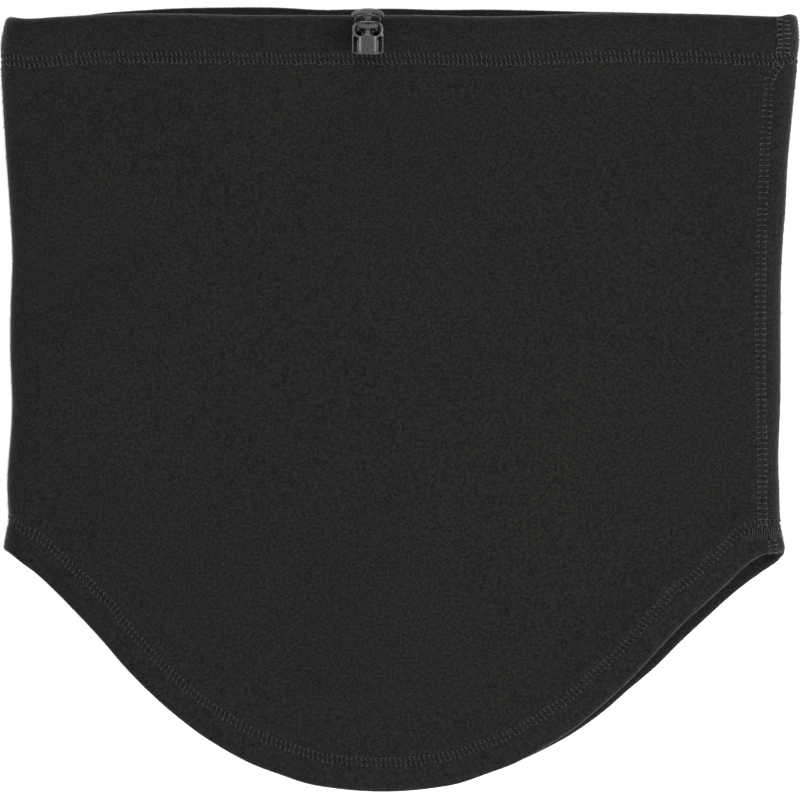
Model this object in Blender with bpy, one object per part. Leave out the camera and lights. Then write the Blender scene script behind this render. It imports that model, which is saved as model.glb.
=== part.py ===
"""Fleece neck gaiter with a drawcord hem, lying flat.

Metres. +X runs across the tube, +Y towards the drawcord hem, +Z up out of the front.
The underside of the back layer lies on z = 0.
"""

import math

import bmesh
import bpy

# Outline of the flat tube: (y, x) of its two folds
LEFT_FOLD = (
    (-0.0560, -0.1345), (-0.0500, -0.1337), (-0.0400, -0.1321), (-0.0280, -0.1325), (-0.0100, -0.1312),
    (-0.0010, -0.1309), (0.0160, -0.1315), (0.0300, -0.1314), (0.0480, -0.1308), (0.0640, -0.1316),
    (0.0880, -0.1333), (0.1120, -0.1346), (0.1206, -0.1344), (0.1300, -0.1325),
)
RIGHT_FOLD = (
    (-0.0560, 0.1304), (-0.0500, 0.1298), (-0.0450, 0.1290), (-0.0410, 0.1286), (-0.0300, 0.1282),
    (-0.0200, 0.1280), (0.0000, 0.1287), (0.0400, 0.1289), (0.0540, 0.1296), (0.0640, 0.1304),
    (0.0800, 0.1312), (0.0950, 0.1326), (0.1120, 0.1343), (0.1210, 0.1348), (0.1300, 0.1336),
)
# Top edges: (x, y). The back layer peeps over the front one left of the middle
TOP_FRONT = (
    (-0.1350, 0.1292), (-0.1260, 0.1280), (-0.1150, 0.1286), (-0.0950, 0.1296), (-0.0740, 0.1297),
    (-0.0535, 0.1292), (-0.0330, 0.1292), (-0.0100, 0.1291), (0.0070, 0.1292), (0.0290, 0.1287),
    (0.0470, 0.1291), (0.0700, 0.1298), (0.0940, 0.1295), (0.1100, 0.1291), (0.1200, 0.1287),
    (0.1290, 0.1284), (0.1350, 0.1290),
)
TOP_BACK = (
    (-0.1350, 0.1292), (-0.1236, 0.1279), (-0.1155, 0.1286), (-0.0993, 0.1306), (-0.0913, 0.1312),
    (-0.0751, 0.1321), (-0.0589, 0.1324), (-0.0428, 0.1324), (-0.0266, 0.1316), (-0.0185, 0.1317),
    (-0.0024, 0.1320), (0.0138, 0.1316), (0.0300, 0.1317), (0.0461, 0.1314), (0.0623, 0.1310),
    (0.0785, 0.1304), (0.0946, 0.1297), (0.1108, 0.1291), (0.1189, 0.1287), (0.1270, 0.1284),
    (0.1350, 0.1290),
)
# Curved bottom edge: (distance from its middle, rise)
HEM_MIDDLE = -0.0053
HEM_LOWEST = -0.1325
HEM_RISE = (
    (-0.0230, 0.0021), (0.0000, 0.0000), (0.0230, 0.0021), (0.0362, 0.0062), (0.0463, 0.0102),
    (0.0603, 0.0183), (0.0711, 0.0265), (0.0801, 0.0346), (0.0879, 0.0427), (0.0948, 0.0508),
    (0.1023, 0.0589), (0.1103, 0.0671), (0.1175, 0.0738), (0.1234, 0.0779), (0.1290, 0.0812),
    (0.1360, 0.0816),
)
# The same right of its middle, where the back layer reaches further out
FRONT_RIGHT_RISE = (
    (-0.0230, 0.0021), (0.0000, 0.0000), (0.0224, 0.0021), (0.0353, 0.0062), (0.0455, 0.0102),
    (0.0598, 0.0183), (0.0672, 0.0237), (0.0826, 0.0373), (0.0998, 0.0556), (0.1075, 0.0626),
    (0.1152, 0.0695), (0.1230, 0.0769), (0.1287, 0.0800), (0.1360, 0.0806),
)
BACK_RIGHT_RISE = (
    (-0.0230, 0.0021), (0.0000, 0.0000), (0.0224, 0.0021), (0.0353, 0.0062), (0.0459, 0.0098),
    (0.0617, 0.0177), (0.0735, 0.0258), (0.0828, 0.0339), (0.0923, 0.0420), (0.1004, 0.0501),
    (0.1091, 0.0582), (0.1182, 0.0664), (0.1274, 0.0727), (0.1332, 0.0760), (0.1360, 0.0790),
)

# Thickness of the flat tube: (distance from the edge, height of the front face)
HEIGHT_TOP = (
    (0.0, 0.0136), (0.0026, 0.0154), (0.0045, 0.0156), (0.0065, 0.0155), (0.0090, 0.0149),
    (0.0122, 0.0135), (0.0172, 0.0133), (0.0220, 0.0122), (0.0300, 0.0115),
)
HEIGHT_BOTTOM = (
    (0.0, 0.0133), (0.0050, 0.0135), (0.0125, 0.01335), (0.0170, 0.0123), (0.0260, 0.0115),
)
FOLD_RADIUS = 0.0077
FLEECE = 0.0016
FACING = 0.0014
GAP = 0.0003

# Stitching bands: distances from the edge, and the seam's distances from the right fold
TOP_BAND = (0.0123, 0.0169)
BOTTOM_BAND = (0.0083, 0.0115)
SEAM_BAND = (0.0044, 0.0080)
BARTACK_ROWS = (0.0043, 0.0077)
BARTACK_BAND = (0.0014, 0.0133)
GROOVE = 0.00075
THREAD_TOP = 0.0001
THREAD_UNDER = 0.00045
CHANNEL_FACING = (
    (0.0009, 0.00195), (0.0026, 0.0040), (0.0065, 0.0040), (0.0090, 0.0034),
    (0.0122, 0.00195), (0.0175, 0.00195),
)

# Drawcord and cord lock
CORD_FROM_EDGE = 0.0045
CORD_DEEP = 0.0028
CORD_RADIUS = 0.0009
BIGHT_RADIUS = 0.0007
LOCK_X = -0.01065
LOCK_Z = 0.0186
HOLE_SPREAD = 0.00255
EYELET_Y = 0.1250
EYELET_OUTER = 0.0020
EYELET_INNER = 0.00125
EYELET_Z = (0.0140, 0.0156)
EYELET_HOLE_Z = (0.0131, 0.0170)
PINCH_Y = 0.1250
LOCK_BOTTOM = 0.1155
LOCK_TOP = 0.1268
LOCK_HALF_WIDTH = 0.00525
LOCK_HALF_THICK = 0.0027
FRAME_HALF_THICK = 0.0017
BARREL_HALF_WIDTH = 0.0033
HEAD_FROM = 0.1213
EYE_Y = 0.1238
PLUNGER_HOLE_Y = 0.1263
HOLE_WIDTH = 0.0037
HOLE_HEIGHT = 0.0044
PLUNGER_HALF_THICK = 0.0011
PLUNGER_HALF_WIDTH = 0.0044
PLUNGER_BAR = 0.1230
TONGUE_BOTTOM = 0.1212
TRAVEL = 0.0024
SLOT = (0.00355, 0.0048, 0.1160, 0.1215)
SPRING_FLOOR = 0.1162
SPRING_RADIUS = 0.00095
SPRING_WIRE = 0.00016
SPRING_TURNS = 6

# Lock details
BEYOND = 0.001  # how far a cutter runs past what it cuts
PLAY = 0.00025  # room round the plunger in its cavity
FRAME_SHOULDER = 0.1245
HEAD_SHOULDER = 0.1244
HEAD_INSET = 0.0001
BARREL_LENGTH = 0.0075
THROAT_HALF_WIDTH = 0.0023
BORE = (0.00135, 0.0040)  # radius and length of the spring's room
RECESS_HALF_WIDTH = 0.0034
RECESS_REACH = (0.0011, 0.0009)  # below and above the cord's crossing
RECESS_Z = 0.0012
PLATE_TOP = 0.1290
CAP_TOP = (0.0054, 0.1282, 0.0026)  # half width, shoulder and rise of its upper arc
CAP_UNDER = (0.0052, 0.1278, 0.0016)
CAP_HALF_THICK = 0.0024
TONGUE_HALF_WIDTH = 0.0020
LEG_INNER = 0.00375
LEG_HALF_THICK = 0.0008
SPRING_PLAY = 0.0003
CORD_REACH = 0.00495  # from the lock's middle to where the drawcord's ends meet the bight

FRONT, BACK = 1, -1


def clear_scene():
    for old in list(bpy.data.objects):
        bpy.data.objects.remove(old, do_unlink=True)


def material(name, colour, roughness, metallic=0.0):
    made = bpy.data.materials.new(name)
    made.use_nodes = True
    shader = made.node_tree.nodes["Principled BSDF"]
    shader.inputs["Base Color"].default_value = (*colour, 1.0)
    shader.inputs["Roughness"].default_value = roughness
    shader.inputs["Metallic"].default_value = metallic
    return made


def smooth(points, at):
    """The height at a place of a smooth curve through (place, height) points."""
    last = len(points) - 1
    k = 0
    while k < last - 1 and at > points[k + 1][0]:
        k += 1

    def slope(i):
        before, after = points[max(i - 1, 0)], points[min(i + 1, last)]
        return (after[1] - before[1]) / (after[0] - before[0])

    (start, low), (end, high) = points[k], points[k + 1]
    span = end - start
    u = min(max((at - start) / span, 0.0), 1.0)
    first = (2 * u**3 - 3 * u**2 + 1) * low + (u**3 - 2 * u**2 + u) * slope(k) * span
    return first + (3 * u**2 - 2 * u**3) * high + (u**3 - u**2) * slope(k + 1) * span


def straight(points, at):
    """The height at a place of the line from point to point."""
    for (start, low), (end, high) in zip(points, points[1:]):
        if at <= end:
            return low + (high - low) * max(at - start, 0.0) / (end - start)
    return points[-1][1]


# ---- the fleece tube's surface ----


def bottom_edge(x, face):
    table = HEM_RISE
    if x > HEM_MIDDLE:
        table = FRONT_RIGHT_RISE if face == FRONT else BACK_RIGHT_RISE
    return HEM_LOWEST + smooth(table, abs(x - HEM_MIDDLE))


def top_edge(x, face):
    return smooth(TOP_FRONT if face == FRONT else TOP_BACK, x)


def above_hem(x, face, distance):
    """y at a distance from the bottom edge, measured square to it."""
    step = 0.001
    lean = (bottom_edge(x + step, face) - bottom_edge(x - step, face)) / (2 * step)
    return bottom_edge(x, face) + distance * math.hypot(1.0, lean)


LAST_LOW = HEIGHT_BOTTOM[-1][0]
LAST_HIGH = HEIGHT_TOP[-1][0]


def row_y(row, x, face):
    """A row is ("bottom", distance), ("top", distance) or ("middle", fraction)."""
    kind, amount = row
    if kind == "bottom":
        return above_hem(x, face, amount)
    if kind == "top":
        return top_edge(x, face) - amount
    low, high = above_hem(x, face, LAST_LOW), top_edge(x, face) - LAST_HIGH
    return low + (high - low) * amount


def row_height(row):
    kind, amount = row
    if kind == "middle":
        return HEIGHT_TOP[-1][1]
    return straight(HEIGHT_BOTTOM if kind == "bottom" else HEIGHT_TOP, amount)


def place(station, row, inward=0.0):
    """A point of the tube. A station is (face, share of the width, shift along +X)."""
    face, share, shift = station
    y = 0.0
    for _ in range(5):
        left, right = smooth(LEFT_FOLD, y), smooth(RIGHT_FOLD, y)
        x = left + share * (right - left) + shift
        y = row_y(row, x, face)
    half = row_height(row) / 2
    from_fold = min(x - left, right - x, FOLD_RADIUS)
    turn = math.acos(min(max(1 - from_fold / FOLD_RADIUS, 0.0), 1.0))
    side = 1 if right - x < x - left else -1
    across, up = side * math.cos(turn) / FOLD_RADIUS, face * math.sin(turn) / half
    size = math.hypot(across, up)
    z = half + face * half * math.sin(turn)
    return (x - inward * across / size, y, z - inward * up / size)


def near_fold(face, side, distances):
    return [(face, 1.0, -t) if side > 0 else (face, 0.0, t) for t in distances]


def between(face, first, last, count):
    """Stations evenly spaced between two distances from the left and right folds."""
    steps = [(k + 1) / (count + 1) for k in range(count)]
    return [(face, s, first * (1 - s) - last * s) for s in steps]


def ring():
    """Stations once round the tube, from the left fold over the front."""
    fold = (0.0004, 0.0015, 0.0033, 0.0054, 0.0077)
    seam = (
        0.0136, BARTACK_BAND[1], 0.0083, SEAM_BAND[1], 0.0062, SEAM_BAND[0], 0.0041,
        0.0027, BARTACK_BAND[0], 0.0011, 0.0003,
    )
    stations = near_fold(FRONT, -1, (0.0,) + fold)
    stations += between(FRONT, fold[-1], seam[0], 20)
    stations += near_fold(FRONT, 1, seam)
    stations += near_fold(BACK, 1, (0.0,) + fold)
    stations += list(reversed(between(BACK, fold[-1], fold[-1], 20)))
    return stations + list(reversed(near_fold(BACK, -1, fold)))


def from_right(station):
    return -station[2] if station[1] == 1.0 else 1.0


def inside(value, limits):
    return limits[0] - 1e-6 <= value <= limits[1] + 1e-6


def groove_at(station, row):
    """How deep the stitching has pulled the fleece in."""
    kind, amount = row
    on_seam = station[0] == FRONT and inside(from_right(station), SEAM_BAND)
    on_ring = (kind == "top" and inside(amount, TOP_BAND)) or (
        kind == "bottom" and inside(amount, BOTTOM_BAND)
    )
    on_bartack = (
        kind == "bottom"
        and station[0] == FRONT
        and inside(amount, BARTACK_ROWS)
        and inside(from_right(station), BARTACK_BAND)
    )
    return GROOVE if on_seam or on_ring or on_bartack else 0.0


def sheet(name, stations, rows, outer, inner, closed, look):
    """A closed sheet between two depths under the tube's surface, over stations and rows."""
    mesh = bmesh.new()
    layers = [
        [[mesh.verts.new(place(s, r, depth(s, r))) for s in stations] for r in rows]
        for depth in (outer, inner)
    ]
    columns = len(stations) if closed else len(stations) - 1
    across = len(stations)
    for row in range(len(rows) - 1):
        for k in range(columns):
            for layer in layers:
                low, high = layer[row], layer[row + 1]
                mesh.faces.new((low[k], low[(k + 1) % across], high[(k + 1) % across], high[k]))
    ends = [(layers[0][row][k], layers[0][row][(k + 1) % across],
             layers[1][row][(k + 1) % across], layers[1][row][k])
            for row in (0, len(rows) - 1) for k in range(columns)]
    if not closed:
        ends += [(layers[0][row][k], layers[0][row + 1][k],
                  layers[1][row + 1][k], layers[1][row][k])
                 for k in (0, across - 1) for row in range(len(rows) - 1)]
    for corners in ends:
        mesh.faces.new(corners)
    bmesh.ops.recalc_face_normals(mesh, faces=mesh.faces)
    data = bpy.data.meshes.new(name)
    mesh.to_mesh(data)
    mesh.free()
    return add(name, data, look)


# ---- shared tools ----


def add(name, data, look, collection=None):
    made = bpy.data.objects.new(name, data)
    (collection or parts).objects.link(made)
    if look:
        data.materials.clear()
        data.materials.append(look)
    return made


def cutter(name, data):
    made = add(name, data, None, cutters)
    made.hide_render = True
    made.display_type = "WIRE"
    return made


def cut(target, tool, operation="DIFFERENCE"):
    modifier = target.modifiers.new(f"{operation.title()} {tool.name}", "BOOLEAN")
    modifier.object = tool
    modifier.operation = operation
    modifier.solver = "EXACT"


def outline_mesh(name, points, low, high):
    """A prism on a flat outline of (x, y) points, from z = low to z = high."""
    mesh = bmesh.new()
    base = mesh.faces.new([mesh.verts.new((x, y, low)) for x, y in points])
    lifted = bmesh.ops.extrude_face_region(mesh, geom=[base])["geom"]
    bmesh.ops.translate(
        mesh,
        vec=(0.0, 0.0, high - low),
        verts=[v for v in lifted if isinstance(v, bmesh.types.BMVert)],
    )
    bmesh.ops.recalc_face_normals(mesh, faces=mesh.faces)
    data = bpy.data.meshes.new(name)
    mesh.to_mesh(data)
    mesh.free()
    return data


def box_mesh(name, x, y, z):
    """A box between pairs of limits."""
    corners = ((x[0], y[0]), (x[1], y[0]), (x[1], y[1]), (x[0], y[1]))
    return outline_mesh(name, corners, z[0], z[1])


def round_bar(name, centre, half_x, half_z, length):
    """An elliptical bar along Y, from centre on."""
    mesh = bmesh.new()
    bmesh.ops.create_cone(
        mesh, cap_ends=True, segments=32, radius1=1.0, radius2=1.0, depth=length
    )
    for v in mesh.verts:
        x, y, z = v.co
        v.co = (centre[0] + x * half_x, centre[1] + length / 2 + z, centre[2] - y * half_z)
    bmesh.ops.recalc_face_normals(mesh, faces=mesh.faces)
    data = bpy.data.meshes.new(name)
    mesh.to_mesh(data)
    mesh.free()
    return data


def stadium(centre_x, centre_y, width, height):
    """An upright slot with round ends."""
    radius = width / 2
    reach = height / 2 - radius
    points = []
    for end, first in ((1, 0.0), (-1, math.pi)):
        for k in range(9):
            turn = first + math.pi * k / 8
            points.append(
                (centre_x + radius * math.cos(turn), centre_y + end * reach + radius * math.sin(turn))
            )
    return points


def circle(centre_x, centre_y, radius, count=24):
    turns = [2 * math.pi * k / count for k in range(count)]
    return [(centre_x + radius * math.cos(t), centre_y + radius * math.sin(t)) for t in turns]


def tube(name, points, radius, look):
    """A round cord or wire along a list of points."""
    path = bpy.data.curves.new(name, "CURVE")
    path.dimensions = "3D"
    path.bevel_depth = radius
    path.bevel_resolution = 2
    path.use_fill_caps = True
    spline = path.splines.new("POLY")
    spline.points.add(len(points) - 1)
    for point, at in zip(spline.points, points):
        point.co = (*at, 1.0)
    return add(name, path, look)


def rounded(points, per_span):
    """Points of a smooth curve through a list of points."""
    places = [(k, p) for k, p in enumerate(points)]
    count = (len(points) - 1) * per_span
    return [
        tuple(smooth([(k, p[axis]) for k, p in places], i / per_span) for axis in range(3))
        for i in range(count + 1)
    ]


# ---- the pieces ----


def make_fleece():
    stations = ring()
    bottoms = (
        0.0, 0.0020, 0.0040, *BARTACK_ROWS, 0.0080, *BOTTOM_BAND, 0.0118, 0.0170, LAST_LOW,
    )
    tops = (
        0.0300, 0.0220, 0.0172, TOP_BAND[1], TOP_BAND[0], 0.0120, 0.0090, 0.0065, 0.0045,
        0.0026, 0.0012, 0.0,
    )
    rows = [("bottom", d) for d in bottoms]
    rows += [("middle", k / 6) for k in range(1, 6)]
    rows += [("top", d) for d in tops]
    whole = sheet(
        "fleece_tube", stations, rows, groove_at, lambda s, r: FLEECE, True, fleece_look
    )
    for side in (-1, 1):
        x = LOCK_X + side * HOLE_SPREAD
        hole = circle(x, EYELET_Y, EYELET_OUTER + GAP)
        data = outline_mesh("eyelet_hole", hole, *EYELET_HOLE_Z)
        cut(whole, cutter(f"eyelet_hole_{side}", data))

    facing_rows = [("top", d) for d in (0.0175, 0.0122, 0.0090, 0.0065, 0.0045, 0.0026, 0.0009)]
    sheet(
        "top_hem_facing",
        stations,
        facing_rows,
        lambda s, r: straight(CHANNEL_FACING, r[1]),
        lambda s, r: straight(CHANNEL_FACING, r[1]) + FACING,
        True,
        facing_look,
    )
    sheet(
        "bottom_hem_facing",
        stations,
        [("bottom", d) for d in (0.0009, 0.0043, 0.0080, 0.0125)],
        lambda s, r: FLEECE + GAP,
        lambda s, r: FLEECE + GAP + FACING,
        True,
        facing_look,
    )


def make_stitching():
    def band(name, stations, rows, closed):
        sheet(
            name, stations, rows, lambda s, r: THREAD_TOP, lambda s, r: THREAD_UNDER, closed,
            thread_look,
        )

    stations = ring()
    for name, kind, limits in (
        ("top_hem_stitching", "top", TOP_BAND),
        ("bottom_hem_stitching", "bottom", BOTTOM_BAND),
    ):
        rows = [(kind, limits[0] + GAP), (kind, limits[1] - GAP)]
        band(name, stations, rows, True)
    middle = (SEAM_BAND[0] + SEAM_BAND[1]) / 2
    seam = near_fold(FRONT, 1, (SEAM_BAND[1] - GAP, middle, SEAM_BAND[0] + GAP))
    long_rows = [("bottom", BOTTOM_BAND[1] + GAP), ("bottom", 0.0170), ("bottom", LAST_LOW)]
    long_rows += [("middle", k / 6) for k in range(1, 6)]
    long_rows += [("top", LAST_HIGH), ("top", 0.0220), ("top", TOP_BAND[1] + GAP)]
    band("side_seam_stitching", seam, long_rows, False)
    tops = (TOP_BAND[0] - GAP, 0.0090, 0.0065, 0.0045, 0.0026, 0.0010)
    band("top_hem_seam_stitching", seam, [("top", d) for d in tops], False)
    lows = (0.0006, BARTACK_ROWS[0] - GAP)
    band("bottom_hem_seam_stitching", seam, [("bottom", d) for d in lows], False)
    across = near_fold(FRONT, 1, (0.0130, 0.0080, 0.0062, 0.0044, 0.0027, 0.0017))
    bar_rows = [("bottom", BARTACK_ROWS[0] + GAP), ("bottom", BARTACK_ROWS[1] - GAP)]
    band("hem_bartack", across, bar_rows, False)


def make_eyelets():
    for side, name in ((-1, "eyelet_left"), (1, "eyelet_right")):
        x = LOCK_X + side * HOLE_SPREAD
        low, high = EYELET_Z
        made = add(name, outline_mesh(name, circle(x, EYELET_Y, EYELET_OUTER), low, high),
                   thread_look)
        hole = outline_mesh(name, circle(x, EYELET_Y, EYELET_INNER), low - BEYOND, high + BEYOND)
        cut(made, cutter(f"{name}_bore", hole))


def make_cords():
    """The drawcord in its channel, and the bight that the lock holds."""
    row = ("top", CORD_FROM_EDGE)
    fold = (0.0077, 0.0054, 0.0033, 0.0015, 0.0004, 0.0)
    stations = near_fold(FRONT, 1, fold)
    stations += near_fold(BACK, 1, reversed(fold[:-1]))
    stations += list(reversed(between(BACK, fold[0], fold[0], 14)))
    stations += near_fold(BACK, -1, fold)
    stations += near_fold(FRONT, -1, reversed(fold[:-1]))
    run = [place(s, row, CORD_DEEP) for s in stations]
    deep = row_height(row) - CORD_DEEP
    first, last = LOCK_X + CORD_REACH, LOCK_X - CORD_REACH

    def front_run(start, end, count):
        xs = [start + (end - start) * k / count for k in range(count)]
        return [(x, top_edge(x, FRONT) - CORD_FROM_EDGE, deep) for x in xs]

    right = front_run(first, run[0][0], 9)
    left = list(reversed(front_run(last, run[-1][0], 9)))
    tube("drawcord", right + run + left, CORD_RADIUS, cord_look)

    y = right[0][1]
    over = LOCK_Z + LOCK_HALF_THICK - 0.0004
    half = (
        (CORD_REACH - GAP, y, deep), (HOLE_SPREAD + 0.0006, y, deep + 0.0003),
        (HOLE_SPREAD, EYELET_Y, deep + 0.0018), (HOLE_SPREAD, PINCH_Y, LOCK_Z - 0.0014),
        (HOLE_SPREAD, PINCH_Y, LOCK_Z + 0.0012), (HOLE_SPREAD - 0.0006, PINCH_Y, over - 0.0002),
        (HOLE_SPREAD - 0.0016, PINCH_Y, over + 0.0001),
    )
    route = [(LOCK_X + x, y, z) for x, y, z in half]
    route += [(LOCK_X, PINCH_Y, over + 0.0001)]
    route += [(LOCK_X - x, y, z) for x, y, z in reversed(half)]
    tube("drawcord_bight", rounded(route, 3), BIGHT_RADIUS, cord_look)


def lock_outline(half_width, bottom, shoulder, top):
    """Straight sides, rounded bottom corners and an arched top."""
    corner = 0.0008
    points = []
    for side, first in ((-1, math.pi), (1, 1.5 * math.pi)):
        for k in range(5):
            turn = first + math.pi / 2 * k / 4
            points.append((
                LOCK_X + side * (half_width - corner) + corner * math.cos(turn),
                bottom + corner + corner * math.sin(turn),
            ))
    for k in range(13):
        turn = math.pi * k / 12
        points.append((
            LOCK_X + half_width * math.cos(turn),
            shoulder + (top - shoulder) * math.sin(turn),
        ))
    return points


def make_lock_body():
    low, high = LOCK_Z - FRAME_HALF_THICK, LOCK_Z + FRAME_HALF_THICK
    frame = lock_outline(LOCK_HALF_WIDTH, LOCK_BOTTOM, FRAME_SHOULDER, LOCK_TOP)
    body = add("cord_lock_body", outline_mesh("cord_lock_body", frame, low, high), lock_look)
    head = lock_outline(
        LOCK_HALF_WIDTH - HEAD_INSET, HEAD_FROM, HEAD_SHOULDER, LOCK_TOP - HEAD_INSET
    )
    deep, front = LOCK_Z - LOCK_HALF_THICK, LOCK_Z + LOCK_HALF_THICK
    cut(body, cutter("lock_head", outline_mesh("lock_head", head, deep, front)), "UNION")
    start = (LOCK_X, LOCK_BOTTOM - HEAD_INSET, LOCK_Z)
    barrel = round_bar(
        "lock_barrel", start, BARREL_HALF_WIDTH, LOCK_HALF_THICK - HEAD_INSET, BARREL_LENGTH
    )
    cut(body, cutter("lock_barrel", barrel), "UNION")
    through = (deep - BEYOND, front + BEYOND)
    for side in (-1, 1):
        near, far = sorted((LOCK_X + side * SLOT[0], LOCK_X + side * SLOT[1]))
        cut(body, cutter(f"lock_slot_{side}",
                         box_mesh("lock_slot", (near, far), SLOT[2:], through)))
        eye = stadium(LOCK_X + side * HOLE_SPREAD, EYE_Y, HOLE_WIDTH, HOLE_HEIGHT)
        cut(body, cutter(f"lock_eye_{side}", outline_mesh("lock_eye", eye, *through)))
    thick = PLUNGER_HALF_THICK + PLAY
    above = LOCK_TOP + BEYOND
    for name, half, bottom in (
        ("lock_cavity", PLUNGER_HALF_WIDTH + PLAY, PLUNGER_BAR - TRAVEL - PLAY),
        ("lock_throat", THROAT_HALF_WIDTH, TONGUE_BOTTOM - TRAVEL - PLAY),
    ):
        room = box_mesh(name, (LOCK_X - half, LOCK_X + half), (bottom, above),
                        (LOCK_Z - thick, LOCK_Z + thick))
        cut(body, cutter(name, room))
    bore = round_bar("lock_bore", (LOCK_X, SPRING_FLOOR, LOCK_Z), BORE[0], BORE[0], BORE[1])
    cut(body, cutter("lock_bore", bore))
    recess = box_mesh(
        "lock_recess", (LOCK_X - RECESS_HALF_WIDTH, LOCK_X + RECESS_HALF_WIDTH),
        (PINCH_Y - RECESS_REACH[0], PINCH_Y + RECESS_REACH[1]),
        (LOCK_Z + RECESS_Z, front + BEYOND),
    )
    cut(body, cutter("lock_recess", recess))


def make_plunger():
    low, high = LOCK_Z - PLUNGER_HALF_THICK, LOCK_Z + PLUNGER_HALF_THICK
    half = PLUNGER_HALF_WIDTH
    plate = box_mesh(
        "cord_lock_plunger", (LOCK_X - half, LOCK_X + half), (PLUNGER_BAR, PLATE_TOP), (low, high)
    )
    plunger = add("cord_lock_plunger", plate, lock_look)
    turns = [math.pi * k / 16 for k in range(17)]
    cap = [
        (LOCK_X + reach * math.cos(turn), shoulder + rise * math.sin(turn))
        for (reach, shoulder, rise), order in ((CAP_TOP, turns), (CAP_UNDER, turns[::-1]))
        for turn in order
    ]
    cap_mesh = outline_mesh(
        "plunger_cap", cap, LOCK_Z - CAP_HALF_THICK, LOCK_Z + CAP_HALF_THICK
    )
    cut(plunger, cutter("plunger_cap", cap_mesh), "UNION")
    tongue = box_mesh(
        "plunger_tongue", (LOCK_X - TONGUE_HALF_WIDTH, LOCK_X + TONGUE_HALF_WIDTH),
        (TONGUE_BOTTOM, PLUNGER_BAR + BEYOND / 2), (low, high),
    )
    cut(plunger, cutter("plunger_tongue", tongue), "UNION")
    for side in (-1, 1):
        near, far = sorted((LOCK_X + side * LEG_INNER, LOCK_X + side * (half - HEAD_INSET)))
        leg = box_mesh(
            "plunger_leg", (near, far), (SLOT[2] + TRAVEL + PLAY, PLUNGER_BAR + BEYOND / 2),
            (LOCK_Z - LEG_HALF_THICK, LOCK_Z + LEG_HALF_THICK),
        )
        cut(plunger, cutter(f"plunger_leg_{side}", leg), "UNION")
        hole = stadium(LOCK_X + side * HOLE_SPREAD, PLUNGER_HOLE_Y, HOLE_WIDTH, HOLE_HEIGHT)
        cut(plunger, cutter(f"plunger_hole_{side}",
                            outline_mesh("plunger_hole", hole, low - BEYOND, high + BEYOND)))


def make_spring():
    start, end = SPRING_FLOOR + SPRING_PLAY, TONGUE_BOTTOM - SPRING_PLAY
    per_turn = 12
    count = SPRING_TURNS * per_turn
    coil = []
    for k in range(count + 1):
        turn = 2 * math.pi * k / per_turn
        coil.append((
            LOCK_X + SPRING_RADIUS * math.cos(turn),
            start + (end - start) * k / count,
            LOCK_Z + SPRING_RADIUS * math.sin(turn),
        ))
    tube("cord_lock_spring", coil, SPRING_WIRE, steel_look)


clear_scene()
parts = bpy.data.collections.new("neck_gaiter")
cutters = bpy.data.collections.new("cutters")
for group in (parts, cutters):
    bpy.context.scene.collection.children.link(group)
fleece_look = material("black fleece", (0.020, 0.019, 0.018), 0.95)
facing_look = material("black fleece, inside", (0.024, 0.023, 0.022), 0.95)
thread_look = material("charcoal thread", (0.045, 0.045, 0.048), 0.7)
cord_look = material("black elastic cord", (0.015, 0.015, 0.016), 0.6)
lock_look = material("black gloss plastic", (0.03, 0.03, 0.033), 0.25)
steel_look = material("spring steel", (0.55, 0.55, 0.56), 0.3, 1.0)
make_fleece()
make_stitching()
make_eyelets()
make_cords()
make_lock_body()
make_plunger()
make_spring()
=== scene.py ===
import math
import bmesh
import bpy
import numpy as np
from mathutils import Matrix, Vector


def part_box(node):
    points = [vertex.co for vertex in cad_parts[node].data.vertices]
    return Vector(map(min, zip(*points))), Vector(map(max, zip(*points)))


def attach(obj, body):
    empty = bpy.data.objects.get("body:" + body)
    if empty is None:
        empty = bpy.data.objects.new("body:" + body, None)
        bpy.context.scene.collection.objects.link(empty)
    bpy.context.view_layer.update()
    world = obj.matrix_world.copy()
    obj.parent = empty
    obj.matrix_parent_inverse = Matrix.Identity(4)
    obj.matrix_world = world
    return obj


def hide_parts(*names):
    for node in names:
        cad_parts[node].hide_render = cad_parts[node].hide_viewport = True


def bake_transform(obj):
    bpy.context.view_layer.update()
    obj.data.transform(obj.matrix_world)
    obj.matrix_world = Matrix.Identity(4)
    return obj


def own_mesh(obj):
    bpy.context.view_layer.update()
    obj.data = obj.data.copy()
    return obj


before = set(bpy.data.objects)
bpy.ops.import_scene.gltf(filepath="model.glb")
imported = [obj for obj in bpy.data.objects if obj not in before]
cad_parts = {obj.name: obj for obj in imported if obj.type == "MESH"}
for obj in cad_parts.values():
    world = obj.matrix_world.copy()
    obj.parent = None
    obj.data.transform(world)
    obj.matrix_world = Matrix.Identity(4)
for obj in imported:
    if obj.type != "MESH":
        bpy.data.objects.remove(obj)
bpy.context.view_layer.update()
print("frame loaded")

# tools used all through

def addObject(name, data):
    thing = bpy.data.objects.new(name, data)
    bpy.context.scene.collection.objects.link(thing)
    return thing


def dropObject(thing):
    bpy.data.objects.remove(thing, do_unlink=True)


def addNode(tree, kind, values=None, **settings):
    node = tree.nodes.new(kind)
    for name, value in settings.items():
        setattr(node, name, value)
    for name, value in (values or {}).items():
        node.inputs[name].default_value = value
    return node


def wire(tree, *links):
    # links: (node, its output, node, its input)
    for source, output, target, entry in links:
        tree.links.new(source.outputs[output], target.inputs[entry])


# camera, light and floor

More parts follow.
